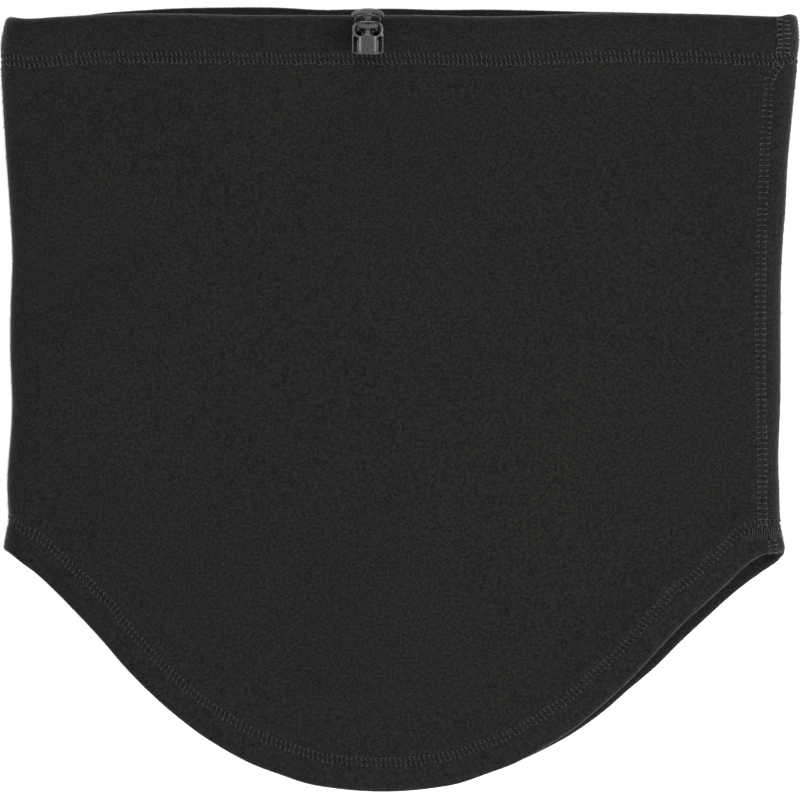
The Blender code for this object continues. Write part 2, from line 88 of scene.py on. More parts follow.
shotSettings = {
    "distance": 2.0,        # metres above the front layer
    "frameWidth": 0.2690,   # metres across the camera's view
    "centre": (0.00017, -0.0005),
    "clipEnd": 20.0,
    "floor": (0.93, 0.93, 0.93),
    "floorRoughness": 0.9,
    "floorGlow": 0.2,
    "floorReach": 3.0,      # half the floor's side
    "floorHeight": -0.0002,
    "worldStrength": 1.1,
    # light all round, as (height from 0 at the horizon to 1 overhead, strength)
    "tent": ((0.0, 0.85), (0.25, 1.0), (0.5, 1.0), (0.8, 0.98), (0.9, 0.62), (1.0, 0.45)),
    # softboxes, as place, aim, size and watts
    "softboxes": {
        "rightSoftbox": ((0.9, -0.1, 0.45), (0.0, 0.0, 0.0), (0.5, 0.7), 12.0),
        "leftSoftbox": ((-0.9, 0.0, 0.45), (0.0, 0.0, 0.0), (0.5, 0.7), 4.0),
        "lowSoftbox": ((0.12, -0.45, 0.5), (0.0, 0.0, 0.0), (0.6, 0.3), 2.2),
        "sparkSoftbox": ((-0.10, 0.75, 1.25), (0.0, 0.1, 0.0), (0.32, 0.32), 5.0),
    },
}


def makeCamera(values):
    data = bpy.data.cameras.new("shotCamera")
    data.lens = data.sensor_width * values["distance"] / values["frameWidth"]
    data.clip_end = values["clipEnd"]
    camera = addObject("shotCamera", data)
    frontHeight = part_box("fleece_tube")[1].z
    camera.location = (*values["centre"], frontHeight + values["distance"])
    bpy.context.scene.camera = camera


def softLight(name, place, aim, size, power):
    data = bpy.data.lights.new(name, "AREA")
    data.shape = "RECTANGLE"
    data.size, data.size_y = size
    data.energy = power
    lamp = addObject(name, data)
    lamp.location = place
    lamp.rotation_euler = (Vector(aim) - Vector(place)).to_track_quat("-Z", "Y").to_euler()


def makeWorld(values):
    world = bpy.data.worlds.new("studio")
    world.use_nodes = True
    tree = world.node_tree
    where = addNode(tree, "ShaderNodeTexCoord")
    height = addNode(tree, "ShaderNodeSeparateXYZ")
    tent = addNode(tree, "ShaderNodeValToRGB")
    glow = tree.nodes["Background"]
    stops = tent.color_ramp.elements
    for place, _ in values["tent"][1:-1]:   # the ramp comes with its first and last stop
        stops.new(place)
    for stop, (_, strength) in zip(stops, values["tent"]):
        stop.color = (strength, strength, strength, 1.0)
    wire(tree,
         (where, "Generated", height, "Vector"),
         (height, "Z", tent, "Fac"),
         (tent, "Color", glow, "Color"))
    glow.inputs["Strength"].default_value = values["worldStrength"]
    bpy.context.scene.world = world
    bpy.context.scene.view_settings.view_transform = "Standard"


def makeFloor(values):
    paper = bpy.data.materials.new("whitePaper")
    paper.use_nodes = True
    shader = paper.node_tree.nodes["Principled BSDF"]
    shader.inputs["Base Color"].default_value = (*values["floor"], 1.0)
    shader.inputs["Roughness"].default_value = values["floorRoughness"]
    shader.inputs["Emission Color"].default_value = (1.0, 1.0, 1.0, 1.0)
    shader.inputs["Emission Strength"].default_value = values["floorGlow"]
    data = bpy.data.meshes.new("studioFloor")
    reach, height = values["floorReach"], values["floorHeight"]
    corners = [(-reach, -reach, height), (reach, -reach, height), (reach, reach, height),
               (-reach, reach, height)]
    data.from_pydata(corners, [], [(0, 1, 2, 3)])
    data.materials.append(paper)
    addObject("studioFloor", data)


makeCamera(shotSettings)
makeWorld(shotSettings)
for softbox, setUp in shotSettings["softboxes"].items():
    softLight(softbox, *setUp)
makeFloor(shotSettings)
print("studio ready")

# materials

def newLook(name, colour, roughness, metallic=0.0):
    look = bpy.data.materials.new(name)
    look.use_nodes = True
    shader = look.node_tree.nodes["Principled BSDF"]
    shader.inputs["Base Color"].default_value = (*colour, 1.0)
    shader.inputs["Roughness"].default_value = roughness
    shader.inputs["Metallic"].default_value = metallic
    return look, look.node_tree, shader


def noiseNode(tree, scale, detail=2.0, roughness=0.5):
    where = addNode(tree, "ShaderNodeTexCoord")
    grain = addNode(tree, "ShaderNodeTexNoise",
                    {"Scale": scale, "Detail": detail, "Roughness": roughness})
    wire(tree, (where, "Object", grain, "Vector"))
    return grain


def colourRamp(tree, source, low, high, start=0.3, end=0.7):
    ramp = addNode(tree, "ShaderNodeValToRGB")
    ramp.color_ramp.elements[0].position = start
    ramp.color_ramp.elements[0].color = (*low, 1.0)
    ramp.color_ramp.elements[1].position = end
    ramp.color_ramp.elements[1].color = (*high, 1.0)
    tree.links.new(source, ramp.inputs["Fac"])
    return ramp


def bumpChain(tree, shader, layers):
    # layers: (height socket, strength, distance in metres), stacked into the shader's normal
    last = None
    for height, strength, distance in layers:
        bump = addNode(tree, "ShaderNodeBump", {"Strength": strength, "Distance": distance})
        tree.links.new(height, bump.inputs["Height"])
        if last:
            tree.links.new(last, bump.inputs["Normal"])
        last = bump.outputs["Normal"]
    tree.links.new(last, shader.inputs["Normal"])


fleeceValues = {
    "dark": (0.0030, 0.0030, 0.0031),
    "light": (0.0140, 0.0133, 0.0119),
    "tufts": 1150.0,          # tufts per metre; the dark-to-light tuft mottle is partly the fleece's own tone and partly painted shade between fibre clumps
    "clumps": 402.5,
    "patches": 26.0,
    "patchDark": (0.86, 0.88, 0.92),
    "patchLight": (1.0, 0.985, 0.95),
    "sheen": 0.19,
    "sheenRoughness": 0.35,
    "gloss": 0.08,
}


def fleeceLook(values):
    look, tree, shader = newLook("blackFleece", values["dark"], 0.95)
    tufts = noiseNode(tree, values["tufts"], 3.0, 0.65)
    patches = noiseNode(tree, values["patches"], 3.0, 0.55)
    clumps = noiseNode(tree, values["clumps"], 2.0)
    # tuft mottle: partly fleece tone, partly painted shade standing in for the clumps'
    # self-shadowing
    fine = colourRamp(tree, tufts.outputs["Fac"], values["dark"], values["light"], 0.34, 0.68)
    wide = colourRamp(tree, patches.outputs["Fac"], values["patchDark"], values["patchLight"])
    both = addNode(tree, "ShaderNodeMix", {"Factor": 1.0}, data_type="RGBA", blend_type="MULTIPLY")
    wire(tree,
         (fine, "Color", both, "A"),
         (wide, "Color", both, "B"),
         (both, "Result", shader, "Base Color"))
    shader.inputs["Sheen Weight"].default_value = values["sheen"]
    shader.inputs["Sheen Roughness"].default_value = values["sheenRoughness"]
    shader.inputs["Specular IOR Level"].default_value = values["gloss"]
    bumpChain(tree, shader, [
        (clumps.outputs["Fac"], 0.5, 0.0006),
        (tufts.outputs["Fac"], 0.6, 0.0004),
    ])
    return look


fibreValues = {
    "dark": (0.006, 0.0058, 0.0056),
    "light": (0.019, 0.0182, 0.017),
    "tint": 700.0,          # changes of tint per metre
    "gloss": 0.2,
}


def fibreLook(values):
    look, tree, shader = newLook("fleeceFibre", values["light"], 0.9)
    tint = noiseNode(tree, values["tint"], 1.0)
    ramp = colourRamp(tree, tint.outputs["Fac"], values["dark"], values["light"])
    wire(tree, (ramp, "Color", shader, "Base Color"))
    shader.inputs["Specular IOR Level"].default_value = values["gloss"]
    return look


threadValues = {
    "thread": ("charcoalThread", (0.009, 0.009, 0.0100), (0.018, 0.018, 0.0200)),
    "faintThread": ("blackThread", (0.006, 0.006, 0.0066), (0.013, 0.013, 0.0142)),
    "ply": 2600.0,          # twists per metre
}


def threadLook(name, dark, light):
    look, tree, shader = newLook(name, light, 0.6)
    ply = noiseNode(tree, threadValues["ply"], 2.0)
    ramp = colourRamp(tree, ply.outputs["Fac"], dark, light)
    wire(tree, (ramp, "Color", shader, "Base Color"))
    shader.inputs["Specular IOR Level"].default_value = 0.35
    bumpChain(tree, shader, [(ply.outputs["Fac"], 0.4, 0.0001)])
    return look


cordColours = {
    "dark": (0.010, 0.010, 0.011),
    "light": (0.034, 0.034, 0.036),
    "crossing": 0.7,        # turn of the two ways of the braid, in radians
}


def cordLook(values):
    look, tree, shader = newLook("braidedCord", values["light"], 0.55)
    where = addNode(tree, "ShaderNodeUVMap", uv_map="UVMap")
    both = addNode(tree, "ShaderNodeMath", operation="MAXIMUM")
    for way, turn in enumerate((values["crossing"], -values["crossing"])):
        mapping = addNode(tree, "ShaderNodeMapping", {"Rotation": (0.0, 0.0, turn)})
        wave = addNode(tree, "ShaderNodeTexWave", {"Scale": 1.0, "Distortion": 0.4})
        wire(tree,
             (where, "UV", mapping, "Vector"),
             (mapping, "Vector", wave, "Vector"),
             (wave, "Fac", both, way))
    ramp = colourRamp(tree, both.outputs["Value"], values["dark"], values["light"])
    wire(tree, (ramp, "Color", shader, "Base Color"))
    bumpChain(tree, shader, [(both.outputs["Value"], 0.7, 0.00012)])
    return look


plasticValues = {
    "dark": (0.024, 0.024, 0.027),
    "light": (0.036, 0.036, 0.040),
    "roughness": (0.12, 0.24),
    "wear": 900.0,
    "coat": 0.3,
    "coatRoughness": 0.1,
    "paintedShade": (0.004, 0.004, 0.0045),   # painted shade for the plunger's faces that sit inside the body
}


def roughRange(tree, source, shader, limits):
    rough = addNode(tree, "ShaderNodeMapRange", {"To Min": limits[0], "To Max": limits[1]})
    wire(tree, (source, "Fac", rough, "Value"), (rough, "Result", shader, "Roughness"))


def plasticLook(values):
    look, tree, shader = newLook("glossPlastic", values["light"], values["roughness"][0])
    wear = noiseNode(tree, values["wear"], 3.0, 0.6)
    tone = colourRamp(tree, wear.outputs["Fac"], values["dark"], values["light"])
    wire(tree, (tone, "Color", shader, "Base Color"))
    roughRange(tree, wear, shader, values["roughness"])
    shader.inputs["Coat Weight"].default_value = values["coat"]
    shader.inputs["Coat Roughness"].default_value = values["coatRoughness"]
    bumpChain(tree, shader, [(wear.outputs["Fac"], 0.15, 0.00005)])
    return look


# painted shade: a dark, dull plastic for the plunger's faces inside the body, standing in for the
# shade in the lock's recesses
def paintedShadeLook(values):
    look, tree, shader = newLook("paintedShadePlastic", values["paintedShade"], 0.55)
    shader.inputs["Specular IOR Level"].default_value = 0.15
    return look


def steelLook():
    look, tree, shader = newLook("springSteel", (0.6, 0.6, 0.61), 0.28, 1.0)
    drawn = noiseNode(tree, 4000.0, 1.0)
    roughRange(tree, drawn, shader, (0.2, 0.38))
    return look


looks = {
    "fleece": fleeceLook(fleeceValues),
    "fibre": fibreLook(fibreValues),
    "thread": threadLook(*threadValues["thread"]),
    "faintThread": threadLook(*threadValues["faintThread"]),
    "cord": cordLook(cordColours),
    "plastic": plasticLook(plasticValues),
    # painted shade for the plunger's recessed faces
    "deep": paintedShadeLook(plasticValues),
    "steel": steelLook(),
}
print("materials ready")

# the tube's surface, the same rule as the frame's solids

tubeValues = {
    "laidWidth": 0.27,                 # used for counting faces
    "bodyLength": 0.19,
    "foldRadius": 0.0077,
    "fleece": 0.0016,                  # thickness of the cloth
    "facing": 0.0014,                  # thickness of the cloth turned inside
    "gap": 0.00035,
    "topBand": (0.0146, 0.0040),       # the stitching's distance from the edge, its width
    "bottomBand": (0.0099, 0.0030),
    "seamWidth": 0.0031,
    "grooveDepth": 0.00034,
    "seamGroove": (0.0027, 0.0006, 0.00028),   # right of the seam: distance, width, depth
    "topPuckerReach": 0.0055,
    "bottomPuckerReach": 0.0045,
    "puckerDepth": 0.00016,
    "frontWave": 0.00045,              # height of the slow waves
    "backWave": 0.00012,
    "topFacing": 0.0175,
    "bottomFacing": 0.0125,
    "lowBand": 0.026,                  # the body's rows start and end this far from the edges
    "highBand": 0.030,
}
# the folds, as (y, x)
leftFold = [
    (-0.0560, -0.1345), (-0.0500, -0.1337), (-0.0400, -0.1321), (-0.0280, -0.1325),
    (-0.0100, -0.1312), (-0.0010, -0.1309), (0.0160, -0.1315), (0.0300, -0.1314),
    (0.0480, -0.1308), (0.0640, -0.1316), (0.0880, -0.1333), (0.1120, -0.1346),
    (0.1206, -0.1344), (0.1300, -0.1325),
]
rightFold = [
    (-0.0600, 0.1296), (-0.0560, 0.1301), (-0.0505, 0.1302), (-0.0460, 0.1293), (-0.0410, 0.1286),
    (-0.0300, 0.1283), (-0.0200, 0.1280), (0.0000, 0.1287), (0.0400, 0.1289), (0.0540, 0.1296),
    (0.0640, 0.1304), (0.0800, 0.1312), (0.0950, 0.1326), (0.1120, 0.1343), (0.1210, 0.1349),
    (0.1300, 0.1343),
]
# the top edges and, below, the bottom edge's rise to each side of its middle, as (x, y)
topFront = [
    (-0.1350, 0.1292), (-0.1260, 0.1280), (-0.1150, 0.1286), (-0.0950, 0.1296), (-0.0740, 0.1297),
    (-0.0535, 0.1292), (-0.0330, 0.1292), (-0.0100, 0.1291), (0.0070, 0.1292), (0.0290, 0.1287),
    (0.0470, 0.1291), (0.0700, 0.1300), (0.0940, 0.1297), (0.1100, 0.1293), (0.1200, 0.1289),
    (0.1285, 0.1288), (0.1325, 0.1297), (0.1350, 0.1295),
]
topBack = [
    (-0.1350, 0.1292), (-0.1236, 0.1279), (-0.1155, 0.1286), (-0.0993, 0.1306), (-0.0913, 0.1312),
    (-0.0751, 0.1321), (-0.0589, 0.1324), (-0.0428, 0.1324), (-0.0266, 0.1316), (-0.0185, 0.1317),
    (-0.0024, 0.1320), (0.0138, 0.1316), (0.0300, 0.1317), (0.0461, 0.1314), (0.0623, 0.1310),
    (0.0785, 0.1307), (0.0946, 0.1300), (0.1108, 0.1293), (0.1189, 0.1289), (0.1285, 0.1288),
    (0.1325, 0.1297), (0.1350, 0.1295),
]
hemMiddle, hemLowest = -0.0053, -0.1325
hemRise = [
    (-0.0230, 0.0021), (0.0000, 0.0000), (0.0230, 0.0021), (0.0362, 0.0062), (0.0463, 0.0102),
    (0.0603, 0.0183), (0.0711, 0.0265), (0.0801, 0.0346), (0.0879, 0.0427), (0.0948, 0.0508),
    (0.1023, 0.0589), (0.1103, 0.0671), (0.1175, 0.0738), (0.1234, 0.0779), (0.1290, 0.0812),
    (0.1360, 0.0816),
]
frontRightRise = [
    (-0.0230, 0.0021), (0.0000, 0.0000), (0.0224, 0.0021), (0.0353, 0.0062), (0.0455, 0.0102),
    (0.0598, 0.0183), (0.0672, 0.0237), (0.0826, 0.0373), (0.0998, 0.0556), (0.1075, 0.0626),
    (0.1152, 0.0695), (0.1230, 0.0769), (0.1287, 0.0800), (0.1360, 0.0806),
]
backRightRise = [
    (-0.0230, 0.0021), (0.0000, 0.0000), (0.0224, 0.0021), (0.0353, 0.0062), (0.0459, 0.0098),
    (0.0617, 0.0177), (0.0735, 0.0258), (0.0828, 0.0339), (0.0923, 0.0420), (0.1004, 0.0501),
    (0.1091, 0.0582), (0.1182, 0.0664), (0.1272, 0.0732), (0.1319, 0.0759), (0.1342, 0.0775),
    (0.1356, 0.0793),
]
# thickness of the laid tube, as (distance from the edge, height)
heightTop = [
    (0.0, 0.0136), (0.0026, 0.0153), (0.0045, 0.0156), (0.0065, 0.0155), (0.0090, 0.0149),
    (0.0122, 0.0137), (0.0172, 0.0133), (0.0220, 0.0122), (0.0300, 0.0115), (0.0400, 0.0115),
]
heightBottom = [
    (0.0, 0.0133), (0.0050, 0.0135), (0.0125, 0.0133), (0.0170, 0.0123), (0.0260, 0.0115),
    (0.0360, 0.0115),
]
# depth of the turned cloth round the cord, as (distance from the edge, depth)
channelFacing = [
    (0.0009, 0.00195), (0.0018, 0.0022), (0.0030, 0.0040), (0.0065, 0.0040),
    (0.0090, 0.0034), (0.0122, 0.00195), (0.0180, 0.00195),
]
# the side seam, as (y, x)
seamLine = [
    (-0.0600, 0.1256), (-0.0480, 0.1254), (-0.0450, 0.1225), (-0.0200, 0.1222),
    (0.0060, 0.1215), (0.0400, 0.1215), (0.0570, 0.1219), (0.0840, 0.1229), (0.1060, 0.1245),
    (0.1095, 0.1252), (0.1135, 0.1278), (0.1300, 0.1282),
]


def curveAt(points, at):
    # smooth curve through (place, height) points, flat past its ends
    xs, ys = np.array(points, float).T
    at = np.clip(at, xs[0], xs[-1])
    slopes = np.gradient(ys, xs)
    slopes[1:-1] = (ys[2:] - ys[:-2]) / (xs[2:] - xs[:-2])
    k = np.clip(np.searchsorted(xs, at, side="right") - 1, 0, len(xs) - 2)
    span = xs[k + 1] - xs[k]
    u = (at - xs[k]) / span
    return (
        (2 * u**3 - 3 * u**2 + 1) * ys[k]
        + (u**3 - 2 * u**2 + u) * slopes[k] * span
        + (3 * u**2 - 2 * u**3) * ys[k + 1]
        + (u**3 - u**2) * slopes[k + 1] * span
    )


def bottomEdge(x, face):
    away = np.abs(x - hemMiddle)
    right = np.where(face > 0, curveAt(frontRightRise, away), curveAt(backRightRise, away))
    return hemLowest + np.where(x > hemMiddle, right, curveAt(hemRise, away))


def topEdge(x, face):
    return np.where(face > 0, curveAt(topFront, x), curveAt(topBack, x))


def hemLean(x, face):
    step = 0.001
    return np.hypot(1.0, (bottomEdge(x + step, face) - bottomEdge(x - step, face)) / (2 * step))


rng = np.random.default_rng(11)
fullTurn = 2 * math.pi
waves = [   # radians per metre, heading, phase, share
    (rng.uniform(18, 62), rng.uniform(0, fullTurn), rng.uniform(0, fullTurn),
     rng.uniform(0.4, 1.0))
    for _ in range(9)
]
puckers = [   # radians per metre, phase, share
    (rng.uniform(650, 1500), rng.uniform(0, fullTurn), rng.uniform(0.5, 1.0))
    for _ in range(7)
]


def slowWave(x, y):
    # a gentle unevenness of the cloth, from -1 to 1
    total = sum(
        share * np.sin(often * (x * math.cos(heading) + y * math.sin(heading)) + phase)
        for often, heading, phase, share in waves
    )
    return total / sum(wave[-1] for wave in waves)


def pucker(along):
    total = sum(share * np.sin(often * along + phase) for often, phase, share in puckers)
    return total / sum(gather[-1] for gather in puckers)


def dip(distance, width):
    # 1 inside a band of this width, easing to 0 outside it
    return 1.0 / (1.0 + (np.abs(distance) / (width * 0.55)) ** 6)


def surfaceAt(x, y, face, inward=0.0):
    # the cloth's point over x and y on the front (face 1) or back (-1), at a depth in the cloth
    v = tubeValues
    radius = v["foldRadius"]
    left, right = curveAt(leftFold, y), curveAt(rightFold, y)
    fromBottom = np.maximum(y - bottomEdge(x, face), 0.0) / hemLean(x, face)
    fromTop = np.maximum(topEdge(x, face) - y, 0.0)
    lowHeight, highHeight = curveAt(heightBottom, fromBottom), curveAt(heightTop, fromTop)
    half = np.where(fromBottom < heightBottom[-1][0], lowHeight, highHeight) / 2
    fromFold = np.clip(np.minimum(x - left, right - x), 0.0, radius)
    turn = np.arccos(np.clip(1 - fromFold / radius, 0.0, 1.0))
    side = np.where(right - x < x - left, 1.0, -1.0)
    across, up = side * np.cos(turn) / radius, face * np.sin(turn) / half
    size = np.hypot(across, up)
    (topAt, topWide), (bottomAt, bottomWide) = v["topBand"], v["bottomBand"]
    nearTop = np.exp(-((fromTop - topAt) / v["topPuckerReach"]) ** 2)
    nearBottom = np.exp(-((fromBottom - bottomAt) / v["bottomPuckerReach"]) ** 2)
    dent = np.maximum(dip(fromTop - topAt, topWide), dip(fromBottom - bottomAt, bottomWide))
    seamAway = x - curveAt(seamLine, y)
    onFront = face > 0
    dent = np.where(onFront, np.maximum(dent, dip(seamAway, v["seamWidth"])), dent)
    dent = v["grooveDepth"] * dent
    grooveAt, grooveWide, grooveDeep = v["seamGroove"]
    groove = grooveDeep * np.exp(-((seamAway - grooveAt) / grooveWide) ** 2)
    dent = dent + np.where(onFront, groove, 0.0)
    dent = dent + v["puckerDepth"] * (nearTop + nearBottom) * pucker(x + 0.3 * y) * np.sin(turn)
    skin = np.clip(1.0 - inward / v["fleece"], 0.0, 1.0)
    deep = inward + dent * skin
    z = half + face * half * np.sin(turn)
    sway = slowWave(x, y) * np.sin(turn) ** 2
    lift = v["backWave"] * (1 + sway) * np.sin(turn) ** 2   # upward only, off the table
    z = z + np.where(onFront, v["frontWave"] * sway, lift)
    return np.stack([x - deep * across / size, y, z - deep * up / size], axis=-1)


def outwardAt(x, y, face):
    # unit normal of the tube's outer skin
    way = surfaceAt(x, y, face, 0.0017) - surfaceAt(x, y, face, 0.0020)
    return way / np.linalg.norm(way, axis=-1, keepdims=True)


clothSteps = {
    "acrossStep": 0.0021,   # size of the front's faces
    "alongStep": 0.0021,
    "hemStep": 0.00085,
    "innerStep": 0.0042,
    "turnedStep": 0.0013,
    "hiddenStep": 0.0020,
    "foldSteps": 9,
    "lowHem": (0.020, 0.0215, 0.0235),     # end of the fine rows, then two wider ones
    "highHem": (0.0232, 0.0252, 0.0275),
    "lip": 0.0005,          # rounding of the turned cloth's cut edge
}


def ringStations(values):
    radius = tubeValues["foldRadius"]
    count = int(tubeValues["laidWidth"] / values["acrossStep"])
    turns = np.linspace(0, math.pi / 2, values["foldSteps"] + 1)
    fold = radius * (1 - np.cos(turns))
    middle = np.linspace(0, 1, count + 1)[1:-1]
    leftToRight = [(0.0, t) for t in fold]
    leftToRight += [(s, radius * (1 - 2 * s)) for s in middle]
    leftToRight += [(1.0, -t) for t in reversed(fold)]
    stations = [(1.0, share, shift) for share, shift in leftToRight]
    stations += [(-1.0, share, shift) for share, shift in reversed(leftToRight[1:-1])]
    return np.array(stations).T


def rowAcross(stations, row):
    # x and y of one row of points round the tube; a row is (kind, amount)
    face, share, shift = stations
    kind, amount = row
    y = np.zeros(len(face))
    for _ in range(6):
        left, right = curveAt(leftFold, y), curveAt(rightFold, y)
        x = left + share * (right - left) + shift
        low = bottomEdge(x, face) + amount * hemLean(x, face)
        high = topEdge(x, face) - amount
        if kind == "bottom":
            y = low
        elif kind == "top":
            y = high
        else:
            start = bottomEdge(x, face) + tubeValues["lowBand"] * hemLean(x, face)
            y = start + (topEdge(x, face) - tubeValues["highBand"] - start) * amount
    return x, y


def hemSteps(start, end, step):
    count = max(int(round(abs(end - start) / step)), 1)
    return [start + (end - start) * k / count for k in range(count + 1)]


def fleeceRows(values):
    # rows round the tube, as (kind, distance from its edge or share of the body, depth)
    v = tubeValues
    wall, facing, gap, length = v["fleece"], v["facing"], v["gap"], v["bodyLength"]
    low, high, lip = v["lowBand"], v["highBand"], values["lip"]
    hem, inner, turned = values["hemStep"], values["innerStep"], values["turnedStep"]
    bend = (wall + gap + facing) / 2
    bends = [math.pi * k / 8 for k in range(1, 8)]
    lowFine, lowHem = values["lowHem"][0], values["lowHem"][1:]
    highFine, highHem = values["highHem"][0], values["highHem"][1:]

    # outside, from the bottom edge to the top one and over it
    rows = [("bottom", d, 0.0) for d in hemSteps(bend, lowFine, hem) + [*lowHem, low]]
    count = int(length / values["alongStep"])
    rows += [("middle", k / count, 0.0) for k in range(1, count)]
    rows += [("top", d, 0.0) for d in [high, *reversed(highHem)] + hemSteps(highFine, bend, hem)]
    rows += [("top", bend - bend * math.sin(t), bend - bend * math.cos(t)) for t in bends]

    # down the turned cloth round the cord, and back up its other side
    def channel(d):
        return float(curveAt(channelFacing, np.array(d)))

    last = v["topFacing"]
    rows += [("top", d, channel(d) + facing) for d in hemSteps(bend, last - lip, turned)]
    rows += [("top", last, channel(last) + facing * share) for share in (0.7, 0.3)]
    rows += [("top", d, channel(d)) for d in hemSteps(last - lip, bend, turned)]
    rows += [("top", bend - 0.00015, wall + gap / 2)]

    # inside, from the top to the bottom
    rows += [("top", d, wall) for d in hemSteps(bend, high, inner)]
    count = int(length / inner)
    rows += [("middle", 1 - k / count, wall) for k in range(1, count)]
    rows += [("bottom", d, wall) for d in hemSteps(low, bend, inner)]
    rows += [("bottom", bend - 0.00015, wall + gap / 2)]

    # the bottom's turned cloth, and round its edge to the outside again
    end, under = v["bottomFacing"], wall + gap
    rows += [("bottom", d, under) for d in hemSteps(bend, end - lip, values["hiddenStep"])]
    rows += [("bottom", end, under + facing * share) for share in (0.3, 0.7)]
    rows += [("bottom", d, under + facing) for d in hemSteps(end - lip, bend, turned)]
    rows += [("bottom", bend - bend * math.sin(t), bend + bend * math.cos(t)) for t in bends]
    return rows


def meshPiece(name, points, faces, look):
    data = bpy.data.meshes.new(name)
    data.from_pydata([tuple(p) for p in points], [], [tuple(f) for f in faces])
    data.materials.append(looks[look])
    data.shade_smooth()
    return addObject(name, data)


def faceOutward(piece):
    mesh = bmesh.new()
    mesh.from_mesh(piece.data)
    bmesh.ops.remove_doubles(mesh, verts=mesh.verts, dist=1e-7)
    bmesh.ops.recalc_face_normals(mesh, faces=mesh.faces)
    mesh.to_mesh(piece.data)
    mesh.free()
    piece.data.shade_smooth()


def makeFleece(values):
    stations = ringStations(values)
    rows = fleeceRows(values)
    rings = []
    for kind, amount, inward in rows:
        x, y = rowAcross(stations, (kind, amount))
        rings.append(surfaceAt(x, y, stations[0], inward))
    points = np.concatenate(rings)
    around, count = len(stations[0]), len(rows)
    faces = []
    for row in range(count):
        here, there = row * around, (row + 1) % count * around
        for k in range(around):
            after = (k + 1) % around
            faces.append((here + k, here + after, there + after, there + k))
    piece = meshPiece("fleeceTube", points, faces, "fleece")
    faceOutward(piece)
    skin = piece.data.attributes.new("outerSkin", "FLOAT", "POINT")
    reach = np.repeat([1.0 if row[2] < 0.0012 else 0.0 for row in rows], around)
    skin.data.foreach_set("value", reach.astype(np.float32))
    return piece


fleeceTube = makeFleece(clothSteps)
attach(fleeceTube, "gaiter")
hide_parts("fleece_tube", "top_hem_facing", "bottom_hem_facing")
print("fleece tube", len(fleeceTube.data.polygons))

# geometry node tools

def newTree(name, sockets):
    # sockets: (name, type, default) of the inputs that follow the geometry
    tree = bpy.data.node_groups.new(name, "GeometryNodeTree")
    tree.interface.new_socket("Geometry", in_out="OUTPUT", socket_type="NodeSocketGeometry")
    tree.interface.new_socket("Geometry", in_out="INPUT", socket_type="NodeSocketGeometry")
    for label, kind, default in sockets:
        socket = tree.interface.new_socket(label, in_out="INPUT", socket_type="NodeSocket" + kind)
        if default is not None:
            socket.default_value = default
    return tree, tree.nodes.new("NodeGroupInput"), tree.nodes.new("NodeGroupOutput")


def finishTree(tree, entry, leave, made, result):
    real = addNode(tree, "GeometryNodeRealizeInstances")
    paint = addNode(tree, "GeometryNodeSetMaterial")
    wire(tree,
         (made, result, real, "Geometry"),
         (real, "Geometry", paint, "Geometry"),
         (entry, "Material", paint, "Material"),
         (paint, "Geometry", leave, "Geometry"))


def runTree(name, source, tree, values):
    # the tree's result on an object, as a plain mesh of its own
    modifier = source.modifiers.new(tree.name, "NODES")
    modifier.node_group = tree
    for item in tree.interface.items_tree:
        if item.in_out == "INPUT" and item.name in values:
            modifier[item.identifier] = values[item.name]
    bpy.context.view_layer.update()
    seen = source.evaluated_get(bpy.context.evaluated_depsgraph_get())
    data = bpy.data.meshes.new_from_object(seen)
    source.modifiers.remove(modifier)
    data.name = name
    data.shade_smooth()
    return addObject(name, data)


def helperObject(name, points, edges=(), faces=(), vectors=None):
    # a scratch mesh that a tree reads, with named vectors on its points
    data = bpy.data.meshes.new(name)
    data.from_pydata([tuple(p) for p in points], list(edges), list(faces))
    for label, values in (vectors or {}).items():
        layer = data.attributes.new(label, "FLOAT_VECTOR", "POINT")
        layer.data.foreach_set("vector", np.asarray(values, np.float32).ravel())
    return addObject(name, data)


# fleece pile: short fibres all over the outer skin

pileValues = {
    "frontDensity": 560000.0,   # fibres per square metre
    "edgeDensity": 4200000.0,
    "length": 0.00095,
    "width": 0.00010,
    "tilt": 1.0,                # radians
    "seeds": (5, 9),
    "root": 0.5,                # the unit fibre's radius and how deep it is rooted
    "rootDepth": -0.15,
    "frontFrom": 0.05,          # the front is where the normal's upward part is above this
    "underBelow": -0.93,        # and no fibres grow where it is below this
}


